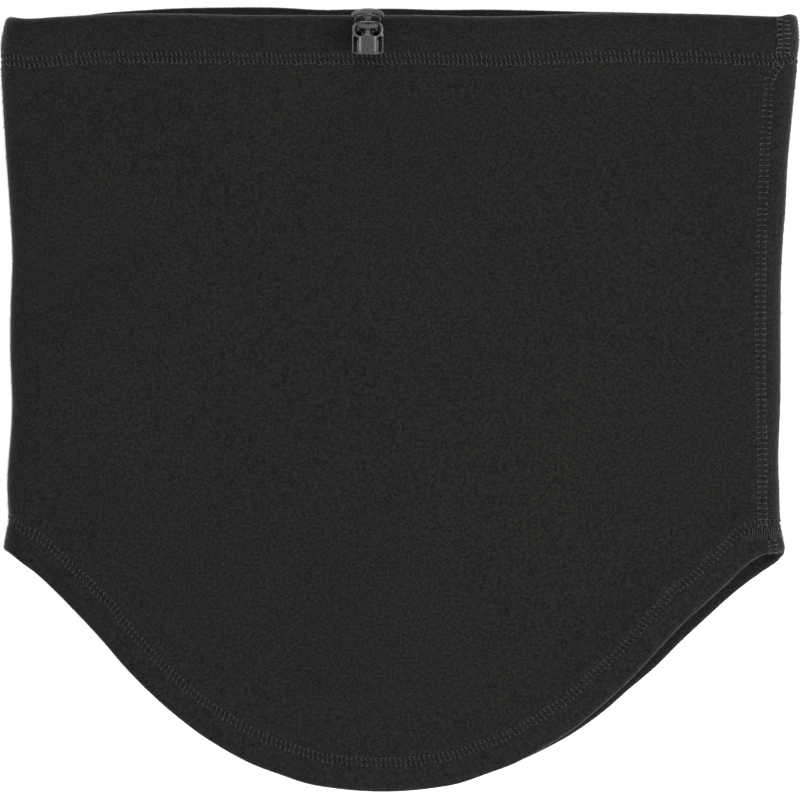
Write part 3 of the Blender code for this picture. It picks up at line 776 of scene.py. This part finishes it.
def pileTree():
    tree, entry, leave = newTree("fleecePile", [
        ("Density", "Float", 400000.0), ("Fibre", "Object", None), ("Length", "Float", 0.0006),
        ("Width", "Float", 0.0001), ("Tilt", "Float", 1.0), ("Mask", "String", "outerSkin"),
        ("Seed", "Int", 3), ("Material", "Material", None),
    ])
    mask = addNode(tree, "GeometryNodeInputNamedAttribute", data_type="FLOAT")
    amount = addNode(tree, "ShaderNodeMath", operation="MULTIPLY")
    scatter = addNode(tree, "GeometryNodeDistributePointsOnFaces", distribute_method="RANDOM")
    fibre = addNode(tree, "GeometryNodeObjectInfo")
    lean = addNode(tree, "FunctionNodeRandomValue", data_type="FLOAT_VECTOR")
    lowest = addNode(tree, "ShaderNodeCombineXYZ", {"Z": -math.pi})
    highest = addNode(tree, "ShaderNodeCombineXYZ", {"Z": math.pi})
    turn = addNode(tree, "FunctionNodeRotateRotation", rotation_space="LOCAL")
    euler = addNode(tree, "FunctionNodeEulerToRotation")
    grow = addNode(tree, "FunctionNodeRandomValue", {"Min": 0.45, "Max": 1.35}, data_type="FLOAT")
    tall = addNode(tree, "ShaderNodeMath", operation="MULTIPLY")
    size = addNode(tree, "ShaderNodeCombineXYZ")
    place = addNode(tree, "GeometryNodeInstanceOnPoints")
    wire(tree,
         (entry, "Mask", mask, "Name"),
         (mask, "Attribute", amount, 0),
         (entry, "Density", amount, 1),
         (entry, "Geometry", scatter, "Mesh"),
         (amount, "Value", scatter, "Density"),
         (entry, "Seed", scatter, "Seed"),
         (entry, "Fibre", fibre, "Object"),
         (entry, "Tilt", highest, "X"),
         (entry, "Seed", lean, "Seed"),
         (entry, "Seed", grow, "Seed"),
         (lowest, "Vector", lean, "Min"),
         (highest, "Vector", lean, "Max"),
         (lean, "Value", euler, "Euler"),
         (scatter, "Rotation", turn, "Rotation"),
         (euler, "Rotation", turn, "Rotate By"),
         (entry, "Length", tall, 0),
         (grow, 1, tall, 1),
         (entry, "Width", size, "X"),
         (entry, "Width", size, "Y"),
         (tall, "Value", size, "Z"),
         (scatter, "Points", place, "Points"),
         (fibre, "Geometry", place, "Instance"),
         (turn, "Rotation", place, "Rotation"),
         (size, "Vector", place, "Scale"))
    finishTree(tree, entry, leave, place, "Instances")
    return tree


def addMask(piece, name, keep):
    # 1 on the outer skin's points that keep() takes from their normals
    count = len(piece.data.vertices)
    skin, normals = np.empty(count, np.float32), np.empty(count * 3)
    piece.data.attributes["outerSkin"].data.foreach_get("value", skin)
    piece.data.vertices.foreach_get("normal", normals)
    chosen = keep(normals.reshape(-1, 3))
    layer = piece.data.attributes.new(name, "FLOAT", "POINT")
    layer.data.foreach_set("value", (skin * chosen).astype(np.float32))


def makePile(values):
    root = values["root"]
    corners = [(root * math.cos(t), root * math.sin(t), values["rootDepth"])
               for t in (0.0, 2.1, 4.2)]
    fibre = helperObject("fibreShape", corners + [(0.0, 0.0, 1.0)],
                         faces=[(0, 2, 1), (0, 1, 3), (1, 2, 3), (2, 0, 3)])
    tree = pileTree()
    front, under = values["frontFrom"], values["underBelow"]
    addMask(fleeceTube, "frontSkin", lambda normals: normals[:, 2] > front)
    addMask(fleeceTube, "sideSkin",
            lambda normals: (normals[:, 2] <= front) * (normals[:, 2] > under))
    frontSeed, edgeSeed = values["seeds"]
    for name, mask, density, seed in (
        ("frontPile", "frontSkin", values["frontDensity"], frontSeed),
        ("edgePile", "sideSkin", values["edgeDensity"], edgeSeed),
    ):
        pile = runTree(name, fleeceTube, tree, {
            "Density": density, "Fibre": fibre, "Length": values["length"],
            "Width": values["width"], "Tilt": values["tilt"], "Mask": mask, "Seed": seed,
            "Material": looks["fibre"],
        })
        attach(pile, "gaiter")
        print(name, len(pile.data.polygons))
    dropObject(fibre)


makePile(pileValues)

# stitching: one thread shape repeated along a line on the cloth

stitchValues = {
    "threadRadius": 0.00019,
    "topPitch": 0.00161,
    "bottomPitch": 0.00165,
    "seamPitch": 0.00182,
    "unevenness": 0.11,
    "raise": -0.00006,        # how far the threads stand above the cloth
    "rootDepth": 0.00012,     # how far a thread's ends go into it
    "tack": ((0.1165, -0.0464), (0.1283, -0.0450)),   # ends of the tacked band
    "tackPitch": 0.0008,
}


def threadMesh(paths, radius, sides=6):
    # round threads along short paths, each closed at its ends
    points, faces = [], []
    for path in paths:
        path = [Vector(p) for p in path]
        base = len(points)
        for k, at in enumerate(path):
            way = (path[min(k + 1, len(path) - 1)] - path[max(k - 1, 0)]).normalized()
            first = way.cross(Vector((0.0, 0.0, 1.0)))
            if first.length < 1e-6:
                first = way.cross(Vector((1.0, 0.0, 0.0)))
            first.normalize()
            second = first.cross(way).normalized()
            thick = radius * (0.55 if k in (0, len(path) - 1) else 1.0)
            for side in range(sides):
                turn = 2 * math.pi * side / sides
                points.append(at + thick * (math.cos(turn) * first + math.sin(turn) * second))
        for k in range(len(path) - 1):
            for side in range(sides):
                a, b = base + k * sides + side, base + k * sides + (side + 1) % sides
                faces.append((a, b, b + sides, a + sides))
        faces.append(tuple(base + side for side in range(sides)))
        end = base + (len(path) - 1) * sides
        faces.append(tuple(end + side for side in reversed(range(sides))))
    return points, faces


def loopPath(start, end, rise, steps=4):
    # a thread that comes out of the cloth at start and goes back in at end
    path = []
    for k in range(steps + 1):
        share = k / steps
        swell = math.sin(math.pi * share)
        height = rise * swell - stitchValues["rootDepth"] * (1 - swell)
        path.append((start[0] + (end[0] - start[0]) * share,
                     start[1] + (end[1] - start[1]) * share, height))
    return path


def coverStitch(width, pitch, lean):
    # two short leaning threads, one on each side of the band's middle
    half = width / 2
    return [
        loopPath((-lean * 0.55, half), (lean * 0.15, 0.0002), 0.00030),
        loopPath((-lean * 0.15, -0.0002), (lean * 0.55, -half), 0.00030),
        loopPath((-pitch * 0.42, half), (pitch * 0.30, half * 0.98), 0.00010, 3),
        loopPath((-pitch * 0.30, -half * 0.98), (pitch * 0.42, -half), 0.00010, 3),
    ]


def flatlockStitch(width, pitch):
    half = width / 2
    return [
        loopPath((0.0, half), (0.0001, 0.0003), 0.00026),
        loopPath((0.0001, -0.0001), (-0.0001, -half), 0.00032),
        loopPath((-pitch * 0.4, half), (pitch * 0.3, half * 0.96), 0.00012, 3),
        loopPath((-pitch * 0.3, -half * 0.96), (pitch * 0.4, -half), 0.00012, 3),
    ]


def tackStitch(width, rows):
    # short threads side by side across a dense band
    step = width / rows
    return [loopPath((0.0001 * (-1) ** k, width / 2 - k * step),
                     (-0.0001 * (-1) ** k, width / 2 - (k + 0.8) * step), 0.00030, 3)
            for k in range(rows)]


def stitchTree():
    tree, entry, leave = newTree("stitchRow", [
        ("Stitch", "Object", None), ("Pitch", "Float", 0.0016), ("Unevenness", "Float", 0.1),
        ("Seed", "Int", 1), ("Material", "Material", None),
    ])
    line = addNode(tree, "GeometryNodeMeshToCurve")
    even = addNode(tree, "GeometryNodeResampleCurve", mode="LENGTH")
    dots = addNode(tree, "GeometryNodeCurveToPoints", mode="EVALUATED")
    outward = addNode(tree, "GeometryNodeInputNamedAttribute", {"Name": "outward"},
                      data_type="FLOAT_VECTOR")
    axes = addNode(tree, "FunctionNodeAxesToRotation", primary_axis="Z", secondary_axis="X")
    stitch = addNode(tree, "GeometryNodeObjectInfo")
    least = addNode(tree, "ShaderNodeMath", operation="MULTIPLY")
    least.inputs[1].default_value = -1.0
    jitter = addNode(tree, "FunctionNodeRandomValue", data_type="FLOAT_VECTOR")
    euler = addNode(tree, "FunctionNodeEulerToRotation")
    turn = addNode(tree, "FunctionNodeRotateRotation", rotation_space="LOCAL")
    grow = addNode(tree, "FunctionNodeRandomValue", {"Min": 0.88, "Max": 1.1}, data_type="FLOAT")
    place = addNode(tree, "GeometryNodeInstanceOnPoints")
    wire(tree,
         (entry, "Geometry", line, "Mesh"),
         (line, "Curve", even, "Curve"),
         (entry, "Pitch", even, "Length"),
         (even, "Curve", dots, "Curve"),
         (outward, "Attribute", axes, "Primary Axis"),
         (dots, "Tangent", axes, "Secondary Axis"),
         (entry, "Stitch", stitch, "Object"),
         (entry, "Unevenness", least, 0),
         (least, "Value", jitter, "Min"),
         (entry, "Unevenness", jitter, "Max"),
         (entry, "Seed", jitter, "Seed"),
         (entry, "Seed", grow, "Seed"),
         (jitter, "Value", euler, "Euler"),
         (axes, "Rotation", turn, "Rotation"),
         (euler, "Rotation", turn, "Rotate By"),
         (dots, "Points", place, "Points"),
         (stitch, "Geometry", place, "Instance"),
         (turn, "Rotation", place, "Rotation"),
         (grow, 1, place, "Scale"))
    finishTree(tree, entry, leave, place, "Instances")
    return tree


def ringLine(kind, amount):
    # a closed line round the tube at a distance from one of its edges
    stations = ringStations({"acrossStep": 0.0012, "foldSteps": 10})
    return (*rowAcross(stations, (kind, amount)), stations[0])


def makeStitches(name, node, line, shape, pitch, seed, closed=False, look="thread", thick=1.0):
    x, y, face = line
    normals = outwardAt(x, y, face)
    points = surfaceAt(x, y, face) + normals * stitchValues["raise"]
    count = len(points)
    edges = [(k, k + 1) for k in range(count - 1)]
    if closed:
        edges.append((count - 1, 0))
    path = helperObject(name + "Line", points, edges, vectors={"outward": normals})
    threads, threadFaces = threadMesh(shape, stitchValues["threadRadius"] * thick)
    stitch = helperObject(name + "Stitch", threads, faces=threadFaces)
    row = runTree(name, path, stitching, {
        "Stitch": stitch, "Pitch": pitch, "Unevenness": stitchValues["unevenness"],
        "Seed": seed, "Material": looks[look],
    })
    dropObject(path)
    dropObject(stitch)
    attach(row, "gaiter")
    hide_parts(node)
    print(name, len(row.data.polygons))


def seamPath(yFrom, yTo, shift=0.0002):
    y = np.linspace(yFrom, yTo, 120)
    return curveAt(seamLine, y) + shift, y, np.ones(len(y))


stitching = stitchTree()
topDistance, topWidth = tubeValues["topBand"]
bottomDistance, bottomWidth = tubeValues["bottomBand"]
seamWidth, seamPitch = tubeValues["seamWidth"], stitchValues["seamPitch"]
makeStitches("topHemStitching", "top_hem_stitching", ringLine("top", topDistance),
             coverStitch(topWidth, stitchValues["topPitch"], 0.0010),
             stitchValues["topPitch"], 2, closed=True)
makeStitches("bottomHemStitching", "bottom_hem_stitching", ringLine("bottom", bottomDistance),
             coverStitch(bottomWidth, stitchValues["bottomPitch"], 0.0009),
             stitchValues["bottomPitch"], 4, closed=True, look="faintThread")
makeStitches("sideSeamStitching", "side_seam_stitching", seamPath(-0.0425, 0.1125),
             flatlockStitch(seamWidth, seamPitch), seamPitch, 6)
makeStitches("topHemSeamStitching", "top_hem_seam_stitching", seamPath(0.1165, 0.1272, 0.0011),
             flatlockStitch(seamWidth * 1.5, seamPitch * 0.8), seamPitch * 0.8, 7, thick=1.35)
makeStitches("bottomHemSeamStitching", "bottom_hem_seam_stitching", seamPath(-0.0522, -0.0480),
             flatlockStitch(seamWidth, seamPitch * 0.7), seamPitch * 0.7, 8)
tackX, tackY = np.linspace(*stitchValues["tack"], 40).T
makeStitches("hemBartack", "hem_bartack", (tackX, tackY, np.ones(40)),
             tackStitch(0.0036, 5), stitchValues["tackPitch"], 12)

# cords: smooth round tubes with a braid that follows their length

cordValues = {
    "radius": 0.00090,
    "channelRadius": 0.0009,
    "braid": 0.0011,          # length of one turn of the braid
    "fromEdge": 0.0045,
    "deep": 0.0028,
    "lockX": -0.01065,        # the lock's middle
    "lockZ": 0.0186,
    "legY": 0.1250,           # where the cord passes through the lock
    "reach": 0.00495,         # from the lock's middle to the channel cord's ends
}


def smoothPath(points, step):
    # evenly spaced points of a smooth curve through a list of points
    points = np.array(points, float)
    along = np.concatenate([[0.0], np.cumsum(np.linalg.norm(np.diff(points, axis=0), axis=1))])
    at = np.linspace(0.0, along[-1], max(int(along[-1] / step), 4))
    return np.stack([curveAt(list(zip(along, points[:, axis])), at) for axis in range(3)], axis=-1)


def cordTube(name, points, radius, look, sides=12):
    points = [Vector(p) for p in points]
    mesh = bmesh.new()
    uvs = mesh.loops.layers.uv.new("UVMap")
    rings, lengths, along = [], [], 0.0
    side = Vector((0.0, 0.0, 1.0))
    for k, at in enumerate(points):
        way = (points[min(k + 1, len(points) - 1)] - points[max(k - 1, 0)]).normalized()
        side = (side - way * side.dot(way)).normalized()
        other = way.cross(side)
        along += (at - points[k - 1]).length if k else 0.0
        lengths.append(along)
        turns = [2 * math.pi * n / sides for n in range(sides)]
        rings.append([mesh.verts.new(at + radius * (math.cos(t) * side + math.sin(t) * other))
                      for t in turns])
    for k in range(len(rings) - 1):
        for n in range(sides):
            after = (n + 1) % sides
            face = mesh.faces.new((rings[k][n], rings[k][after], rings[k + 1][after],
                                   rings[k + 1][n]))
            corners = ((n, k), (n + 1, k), (n + 1, k + 1), (n, k + 1))
            for loop, (around, row) in zip(face.loops, corners):
                loop[uvs].uv = (around / sides * 6.0, lengths[row] / cordValues["braid"] * 2.0)
    mesh.faces.new(rings[0])
    mesh.faces.new(rings[-1])
    bmesh.ops.recalc_face_normals(mesh, faces=mesh.faces)
    data = bpy.data.meshes.new(name)
    mesh.to_mesh(data)
    mesh.free()
    data.materials.append(looks[look])
    data.shade_smooth()
    return addObject(name, data)


def makeCords(values):
    lockX, lockZ, reach = values["lockX"], values["lockZ"], values["reach"]
    stations = ringStations({"acrossStep": 0.0025, "foldSteps": 8})
    x, y = rowAcross(stations, ("top", values["fromEdge"]))
    places = surfaceAt(x, y, stations[0], values["deep"])
    count = len(places)
    away = np.where(stations[0] > 0, np.abs(places[:, 0] - lockX), 1.0)
    first = int(np.argmax(np.where(stations[0] > 0, places[:, 0] > lockX, False)))
    ring = [places[(first + k) % count] for k in range(count)
            if away[(first + k) % count] > reach + 0.0006]
    ends = []
    for side in (1.0, -1.0):
        at = np.array(lockX + side * reach)
        ends.append(surfaceAt(at, topEdge(at, 1.0) - values["fromEdge"], 1.0, values["deep"]))
    route = smoothPath([ends[0]] + ring + [ends[1]], 0.0022)
    channel = cordTube("drawcordChannel", route, values["channelRadius"], "cord", 10)
    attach(channel, "gaiter")
    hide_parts("drawcord")
    deep = float(ends[0][2])
    legY = values["legY"]
    half = [   # from the hem up one leg and over the lock's front to its middle
        (reach - 0.0003, legY, deep), (0.0036, legY, deep + 0.0003),
        (0.0026, legY, deep + 0.0018), (0.0026, legY, lockZ - 0.0020),
        (0.0027, legY, lockZ), (0.0029, legY, lockZ + 0.0012),
        (0.0025, 0.1251, lockZ + 0.0019), (0.0016, legY, lockZ + 0.0022),
        (0.0008, 0.1249, lockZ + 0.0023),
    ]
    over = [(lockX + x, y, z) for x, y, z in half] + [(lockX, 0.12485, lockZ + 0.0023)]
    over += [(lockX - x, y, z) for x, y, z in reversed(half)]
    bight = cordTube("drawcordBight", smoothPath(over, 0.00022), values["radius"], "cord", 16)
    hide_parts("drawcord_bight")
    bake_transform(bight)
    print("cords", len(channel.data.polygons), len(bight.data.polygons))


makeCords(cordValues)

# sewn eyelets under the lock

eyeletValues = {"y": 0.1250, "spread": 0.00255, "inner": 0.00105, "outer": 0.0021, "threads": 30}


def makeEyelets(values):
    middle = (values["inner"] + values["outer"]) / 2
    width = values["outer"] - values["inner"]
    pitch = 2 * math.pi * middle / values["threads"]
    steps = 48
    turns = np.linspace(0, 2 * math.pi, steps + 1)[:-1]
    for side, node in ((-1.0, "eyelet_left"), (1.0, "eyelet_right")):
        x = cordValues["lockX"] + side * values["spread"] + middle * np.cos(turns)
        y = values["y"] + middle * np.sin(turns)
        satin = [loopPath((0.0, -width / 2), (0.0001, width / 2), 0.00028, 5)]
        makeStitches("eyelet" + ("Left" if side < 0 else "Right"), node, (x, y, np.ones(steps)),
                     satin, pitch, 20, closed=True)


makeEyelets(eyeletValues)

# the cord lock: moulded body and press button, spring between them

lockValues = {
    "halfWidth": 0.00525,
    "bottom": 0.1155,
    "shoulder": 0.1244,
    "top": 0.1266,
    "headFrom": 0.1213,
    "headFront": 0.0021,
    "halfThick": 0.0027,
    "railThick": 0.0016,
    "barrelWidth": 0.0034,
    "square": 0.62,           # 1 = round barrel, 0 = box
    "rim": 0.00042,           # radius of the raised rim
    "rimFoot": ((0.0034, 0.1214, 0.0021), (0.0042, 0.1222, 0.0022), (0.0047, 0.1233, 0.0022)),
    "rimArc": (0.0048, 0.1244, 0.00195, 0.0022),     # half width, y, rise, z
    "barrelTop": (0.0014, 0.0008),                   # its rise, its middle above headFrom
    "feet": ((0.0029, 0.1159, 0.0018), (0.0006, 0.0004, 0.0006)),   # middle, radii
    "eye": (0.00248, 0.1238, 0.00345, 0.0044),       # x, y, width, height
    "slot": (0.00419, 0.11875, 0.00118, 0.0055),
    "room": ((0.0048, 0.1202, 0.1290), (0.0025, 0.1183, 0.1220)),   # half width, low, high
    "roomHalf": 0.00138,      # half thickness of the plunger's room
    "bore": (0.00135, 0.1162, 0.1202),               # the spring's room: radius, low, high
    "browCut": (0.0038, 0.1239, 0.1261),             # seat of the cord: half width, low, high
    "browFrom": 0.0012,
    "through": 0.004,         # cuts reach this far to both sides
    "voxel": 0.000085,
    "rounding": 8,
    "travel": 0.0024,
}


def prismMesh(outline, low, high):
    mesh = bmesh.new()
    base = mesh.faces.new([mesh.verts.new((x, y, low)) for x, y in outline])
    lifted = bmesh.ops.extrude_face_region(mesh, geom=[base])["geom"]
    bmesh.ops.translate(mesh, vec=(0.0, 0.0, high - low),
                        verts=[v for v in lifted if isinstance(v, bmesh.types.BMVert)])
    bmesh.ops.recalc_face_normals(mesh, faces=mesh.faces)
    return mesh


def boxOutline(left, right, low, high):
    return [(left, low), (right, low), (right, high), (left, high)]


def arch(halfWidth, bottom, shoulder, top, corner=0.0010):
    points = []
    for side, first in ((-1, math.pi), (1, 1.5 * math.pi)):
        for k in range(7):
            turn = first + math.pi / 2 * k / 6
            points.append((side * (halfWidth - corner) + corner * math.cos(turn),
                           bottom + corner + corner * math.sin(turn)))
    for k in range(25):
        turn = math.pi * k / 24
        points.append((halfWidth * math.cos(turn), shoulder + (top - shoulder) * math.sin(turn)))
    return points


def slotOutline(x, y, width, height):
    radius = width / 2
    return [(x + radius * math.cos(t), y + side * (height / 2 - radius) + radius * math.sin(t))
            for side, first in ((1, 0.0), (-1, math.pi))
            for t in [first + math.pi * k / 12 for k in range(13)]]


def roundBar(halfX, halfZ, low, high):
    mesh = bmesh.new()
    bmesh.ops.create_cone(mesh, cap_ends=True, segments=64, radius1=1.0, radius2=1.0, depth=1.0)
    for v in mesh.verts:
        x, y, z = v.co
        across, deep = (math.copysign(abs(part) ** lockValues["square"], part) for part in (x, y))
        v.co = (across * halfX, low + (z + 0.5) * (high - low), -deep * halfZ)
    bmesh.ops.recalc_face_normals(mesh, faces=mesh.faces)
    return mesh


def ballMesh(centre, radii):
    mesh = bmesh.new()
    bmesh.ops.create_icosphere(mesh, subdivisions=3, radius=1.0)
    for v in mesh.verts:
        v.co = Vector([c + r * a for c, r, a in zip(centre, radii, v.co)])
    return mesh


def wireMesh(path, radius):
    points, faces = threadMesh([path], radius, 10)
    mesh = bmesh.new()
    verts = [mesh.verts.new(p) for p in points]
    for face in faces:
        mesh.faces.new([verts[k] for k in face])
    bmesh.ops.recalc_face_normals(mesh, faces=mesh.faces)
    return mesh


def reskin(thing):
    skin = thing.modifiers.new("skin", "REMESH")
    skin.mode, skin.voxel_size = "VOXEL", lockValues["voxel"]


def fused(name, shapes):
    # overlapping solids made one clean skin
    whole = bmesh.new()
    for shape in shapes:
        data = bpy.data.meshes.new(name)
        shape.to_mesh(data)
        shape.free()
        whole.from_mesh(data)
        bpy.data.meshes.remove(data)
    data = bpy.data.meshes.new(name)
    whole.to_mesh(data)
    whole.free()
    thing = addObject(name, data)
    reskin(thing)
    return thing


def moulded(name, added, removed, look):
    # solids joined, others cut away, and every edge rounded as a mould leaves it
    base, tool = fused(name + "Base", added), fused(name + "Cut", removed)
    cut = base.modifiers.new("cut", "BOOLEAN")
    cut.object, cut.operation, cut.solver = tool, "DIFFERENCE", "MANIFOLD"
    reskin(base)
    soften = base.modifiers.new("soften", "SMOOTH")
    soften.factor, soften.iterations = 0.5, lockValues["rounding"]
    bpy.context.view_layer.update()
    seen = base.evaluated_get(bpy.context.evaluated_depsgraph_get())
    data = bpy.data.meshes.new_from_object(seen)
    dropObject(base)
    dropObject(tool)
    data.transform(Matrix.Translation((cordValues["lockX"], 0.0, cordValues["lockZ"])))
    data.name = name
    data.materials.clear()
    data.materials.append(looks[look])
    data.shade_smooth()
    piece = addObject(name, data)
    print(name, len(data.polygons))
    return piece


def archPoints(halfWidth, middle, rise, start=0.0, end=math.pi, count=33):
    return [(halfWidth * math.cos(t), middle + rise * math.sin(t))
            for t in np.linspace(start, end, count)]


def block(halfWidth, low, high, back, front):
    return prismMesh(boxOutline(-halfWidth, halfWidth, low, high), back, front)


def makeLockBody(v):
    thick, rail, half, head = v["halfThick"], v["railThick"], v["halfWidth"], v["headFrom"]
    foot = [(-x, y, z) for x, y, z in v["rimFoot"]]
    rimHalf, rimY, rimRise, rimZ = v["rimArc"]
    rimPath = foot + [(-x, y, rimZ) for x, y in archPoints(rimHalf, rimY, rimRise, count=29)]
    rimPath += [(-x, y, z) for x, y, z in reversed(foot)]
    topRise, topMiddle = v["barrelTop"]
    added = [
        prismMesh(arch(half, v["bottom"] + 0.0002, v["shoulder"], v["top"]), -rail, rail - 0.0002),
        prismMesh(arch(half - 0.0002, head, v["shoulder"], v["top"] - 0.0001),
                  -thick, v["headFront"]),
        roundBar(v["barrelWidth"], thick - 0.0001, v["bottom"], head + 0.0010),
        ballMesh((0.0, head + topMiddle, 0.0),
                 (v["barrelWidth"] - 0.0002, topRise, thick - 0.0002)),
        wireMesh(rimPath, v["rim"]),
    ]
    (footX, footY, footZ), footRadii = v["feet"]
    through, room = v["through"], v["roomHalf"]
    removed = []
    for side in (-1, 1):
        added.append(ballMesh((side * footX, footY, footZ), footRadii))
        for x, y, width, height in (v["slot"], v["eye"]):
            removed.append(prismMesh(slotOutline(side * x, y, width, height), -through, through))
    removed += [block(*size, -room, room) for size in v["room"]]
    bore, low, high = v["bore"]
    removed.append(roundBar(bore, bore, low, high))
    removed.append(block(*v["browCut"], v["browFrom"], through))
    body = moulded("cordLockBody", added, removed, "plastic")
    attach(body, "lock")
    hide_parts("cord_lock_body")


plungerValues = {
    "arches": (0.00236, 0.1268, 0.0021),             # x and y of their middles, radius
    "archEnd": 0.84,                                 # share of a half turn of each arch
    "archWire": (0.0019, 0.00028, 0.0010),           # radius, thickness, z of the raised edge
    "plate": (0.0044, 0.1230, -0.0011, 0.0008),      # half width, foot, back, front
    "neck": (0.0030, 0.1272, 0.1296, -0.0010, 0.0006),
    "foot": (0.0020, 0.1213, 0.1235, -0.0011, 0.0008),
    "legs": (0.0039, 0.0044, 0.1204, 0.1235, -0.0010, -0.0002),
    "capTop": (0.0054, 0.1282, 0.0026),              # half width, y, rise
    "capUnder": (0.0052, 0.1278, 0.0016),
    "capThick": (-0.0021, 0.0019),
    "capEdge": (0.0053, 0.1282, 0.00235, 0.0020),    # half width, y, rise, z
    "capWire": 0.0004,
    "capEnd": 0.05,
    "knobs": (                                       # middle, radii
        ((0.0003, 0.12905, 0.0008), (0.0009, 0.0005, 0.0006)),
        ((-0.00168, 0.12240, 0.0006), (0.00070, 0.00050, 0.00062)),
        ((0.00160, 0.12310, 0.0006), (0.00064, 0.00048, 0.00062)),
        ((-0.00335, 0.12410, 0.0006), (0.00060, 0.00060, 0.00062)),
        ((0.00300, 0.12395, 0.0006), (0.00080, 0.00052, 0.00062)),
    ),
    "hole": (0.00245, 0.1262, 0.0034, 0.0044),       # x, y, width, height
    "paintedShadeBelow": 0.1262,      # faces below this height and behind this front are in the body and get the painted shade
    "paintedShadeFront": 0.00092,
}


def makePlunger(v):
    archX, archY, radius = v["arches"]
    half, foot, back, front = v["plate"]
    outline = [(half, foot), (half, archY)]
    for side, start, end in ((1, 0.0, v["archEnd"]), (-1, 1.0 - v["archEnd"], 1.0)):
        arc = archPoints(radius, archY, radius, start * math.pi, end * math.pi, 21)
        outline += [(side * archX + x, y) for x, y in arc]
    outline += [(-half, archY), (-half, foot)]
    cap = archPoints(*v["capTop"]) + archPoints(*v["capUnder"], math.pi, 0.0)
    edgeHalf, edgeY, edgeRise, edgeZ = v["capEdge"]
    edge = [(x, y, edgeZ) for x, y in
            archPoints(edgeHalf, edgeY, edgeRise, v["capEnd"], math.pi - v["capEnd"])]
    added = [
        prismMesh(outline, back, front),
        block(*v["neck"]),
        prismMesh(cap, *v["capThick"]),
        wireMesh(edge, v["capWire"]),
        *(ballMesh(middle, radii) for middle, radii in v["knobs"]),
        block(*v["foot"]),
    ]
    wireRadius, wireThick, wireZ = v["archWire"]
    near, far, low, high, legBack, legFront = v["legs"]
    holeX, holeY, holeWidth, holeHeight = v["hole"]
    through = lockValues["through"]
    removed = []
    for side in (-1, 1):
        arc = [(side * archX + x, y, wireZ)
               for x, y in archPoints(wireRadius, archY, wireRadius, count=21)]
        added.append(wireMesh(arc, wireThick))
        left, right = sorted((side * near, side * far))
        added.append(prismMesh(boxOutline(left, right, low, high), legBack, legFront))
        removed.append(prismMesh(slotOutline(side * holeX, holeY, holeWidth, holeHeight),
                                 -through, through))
    plunger = moulded("cordLockPlunger", added, removed, "plastic")
    # faces inside the body get the painted shade material, the rest keep the gloss plastic
    plunger.data.materials.append(looks["deep"])
    for face in plunger.data.polygons:
        at = face.center
        inside = at.y < v["paintedShadeBelow"] and at.z - cordValues["lockZ"] < v["paintedShadeFront"]
        face.material_index = 1 if inside else 0
    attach(plunger, "plunger")
    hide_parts("cord_lock_plunger")


springValues = {"turns": 6.0, "radius": 0.00095, "wire": 0.00016, "low": 0.1165, "high": 0.1209}


def springTree():
    tree, entry, leave = newTree("lockSpring", [
        ("Turns", "Float", 6.0), ("Radius", "Float", 0.00095), ("Length", "Float", 0.0044),
        ("Wire", "Float", 0.00016), ("Material", "Material", None),
    ])
    coil = addNode(tree, "GeometryNodeCurveSpiral", {"Resolution": 26})
    ring = addNode(tree, "GeometryNodeCurvePrimitiveCircle", {"Resolution": 8})
    solid = addNode(tree, "GeometryNodeCurveToMesh", {"Fill Caps": True})
    wire(tree,
         (entry, "Turns", coil, "Rotations"),
         (entry, "Radius", coil, "Start Radius"),
         (entry, "Radius", coil, "End Radius"),
         (entry, "Length", coil, "Height"),
         (entry, "Wire", ring, "Radius"),
         (coil, "Curve", solid, "Curve"),
         (ring, "Curve", solid, "Profile Curve"))
    finishTree(tree, entry, leave, solid, "Mesh")
    return tree


def makeSpring(values):
    low, length = values["low"], values["high"] - values["low"]
    foot = (cordValues["lockX"], low, cordValues["lockZ"])
    seat = helperObject("springSeat", [(0.0, 0.0, 0.0)])
    spring = runTree("cordLockSpring", seat, springTree(), {
        "Turns": values["turns"], "Radius": values["radius"], "Length": length,
        "Wire": values["wire"], "Material": looks["steel"],
    })
    dropObject(seat)
    spring.data.transform(Matrix.Rotation(-math.pi / 2, 4, "X"))
    spring.data.transform(Matrix.Translation(foot))
    faceOutward(spring)
    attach(spring, "lock")
    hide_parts("cord_lock_spring")
    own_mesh(spring)
    print("spring", len(spring.data.polygons))


makeLockBody(lockValues)
makePlunger(plungerValues)
makeSpring(springValues)
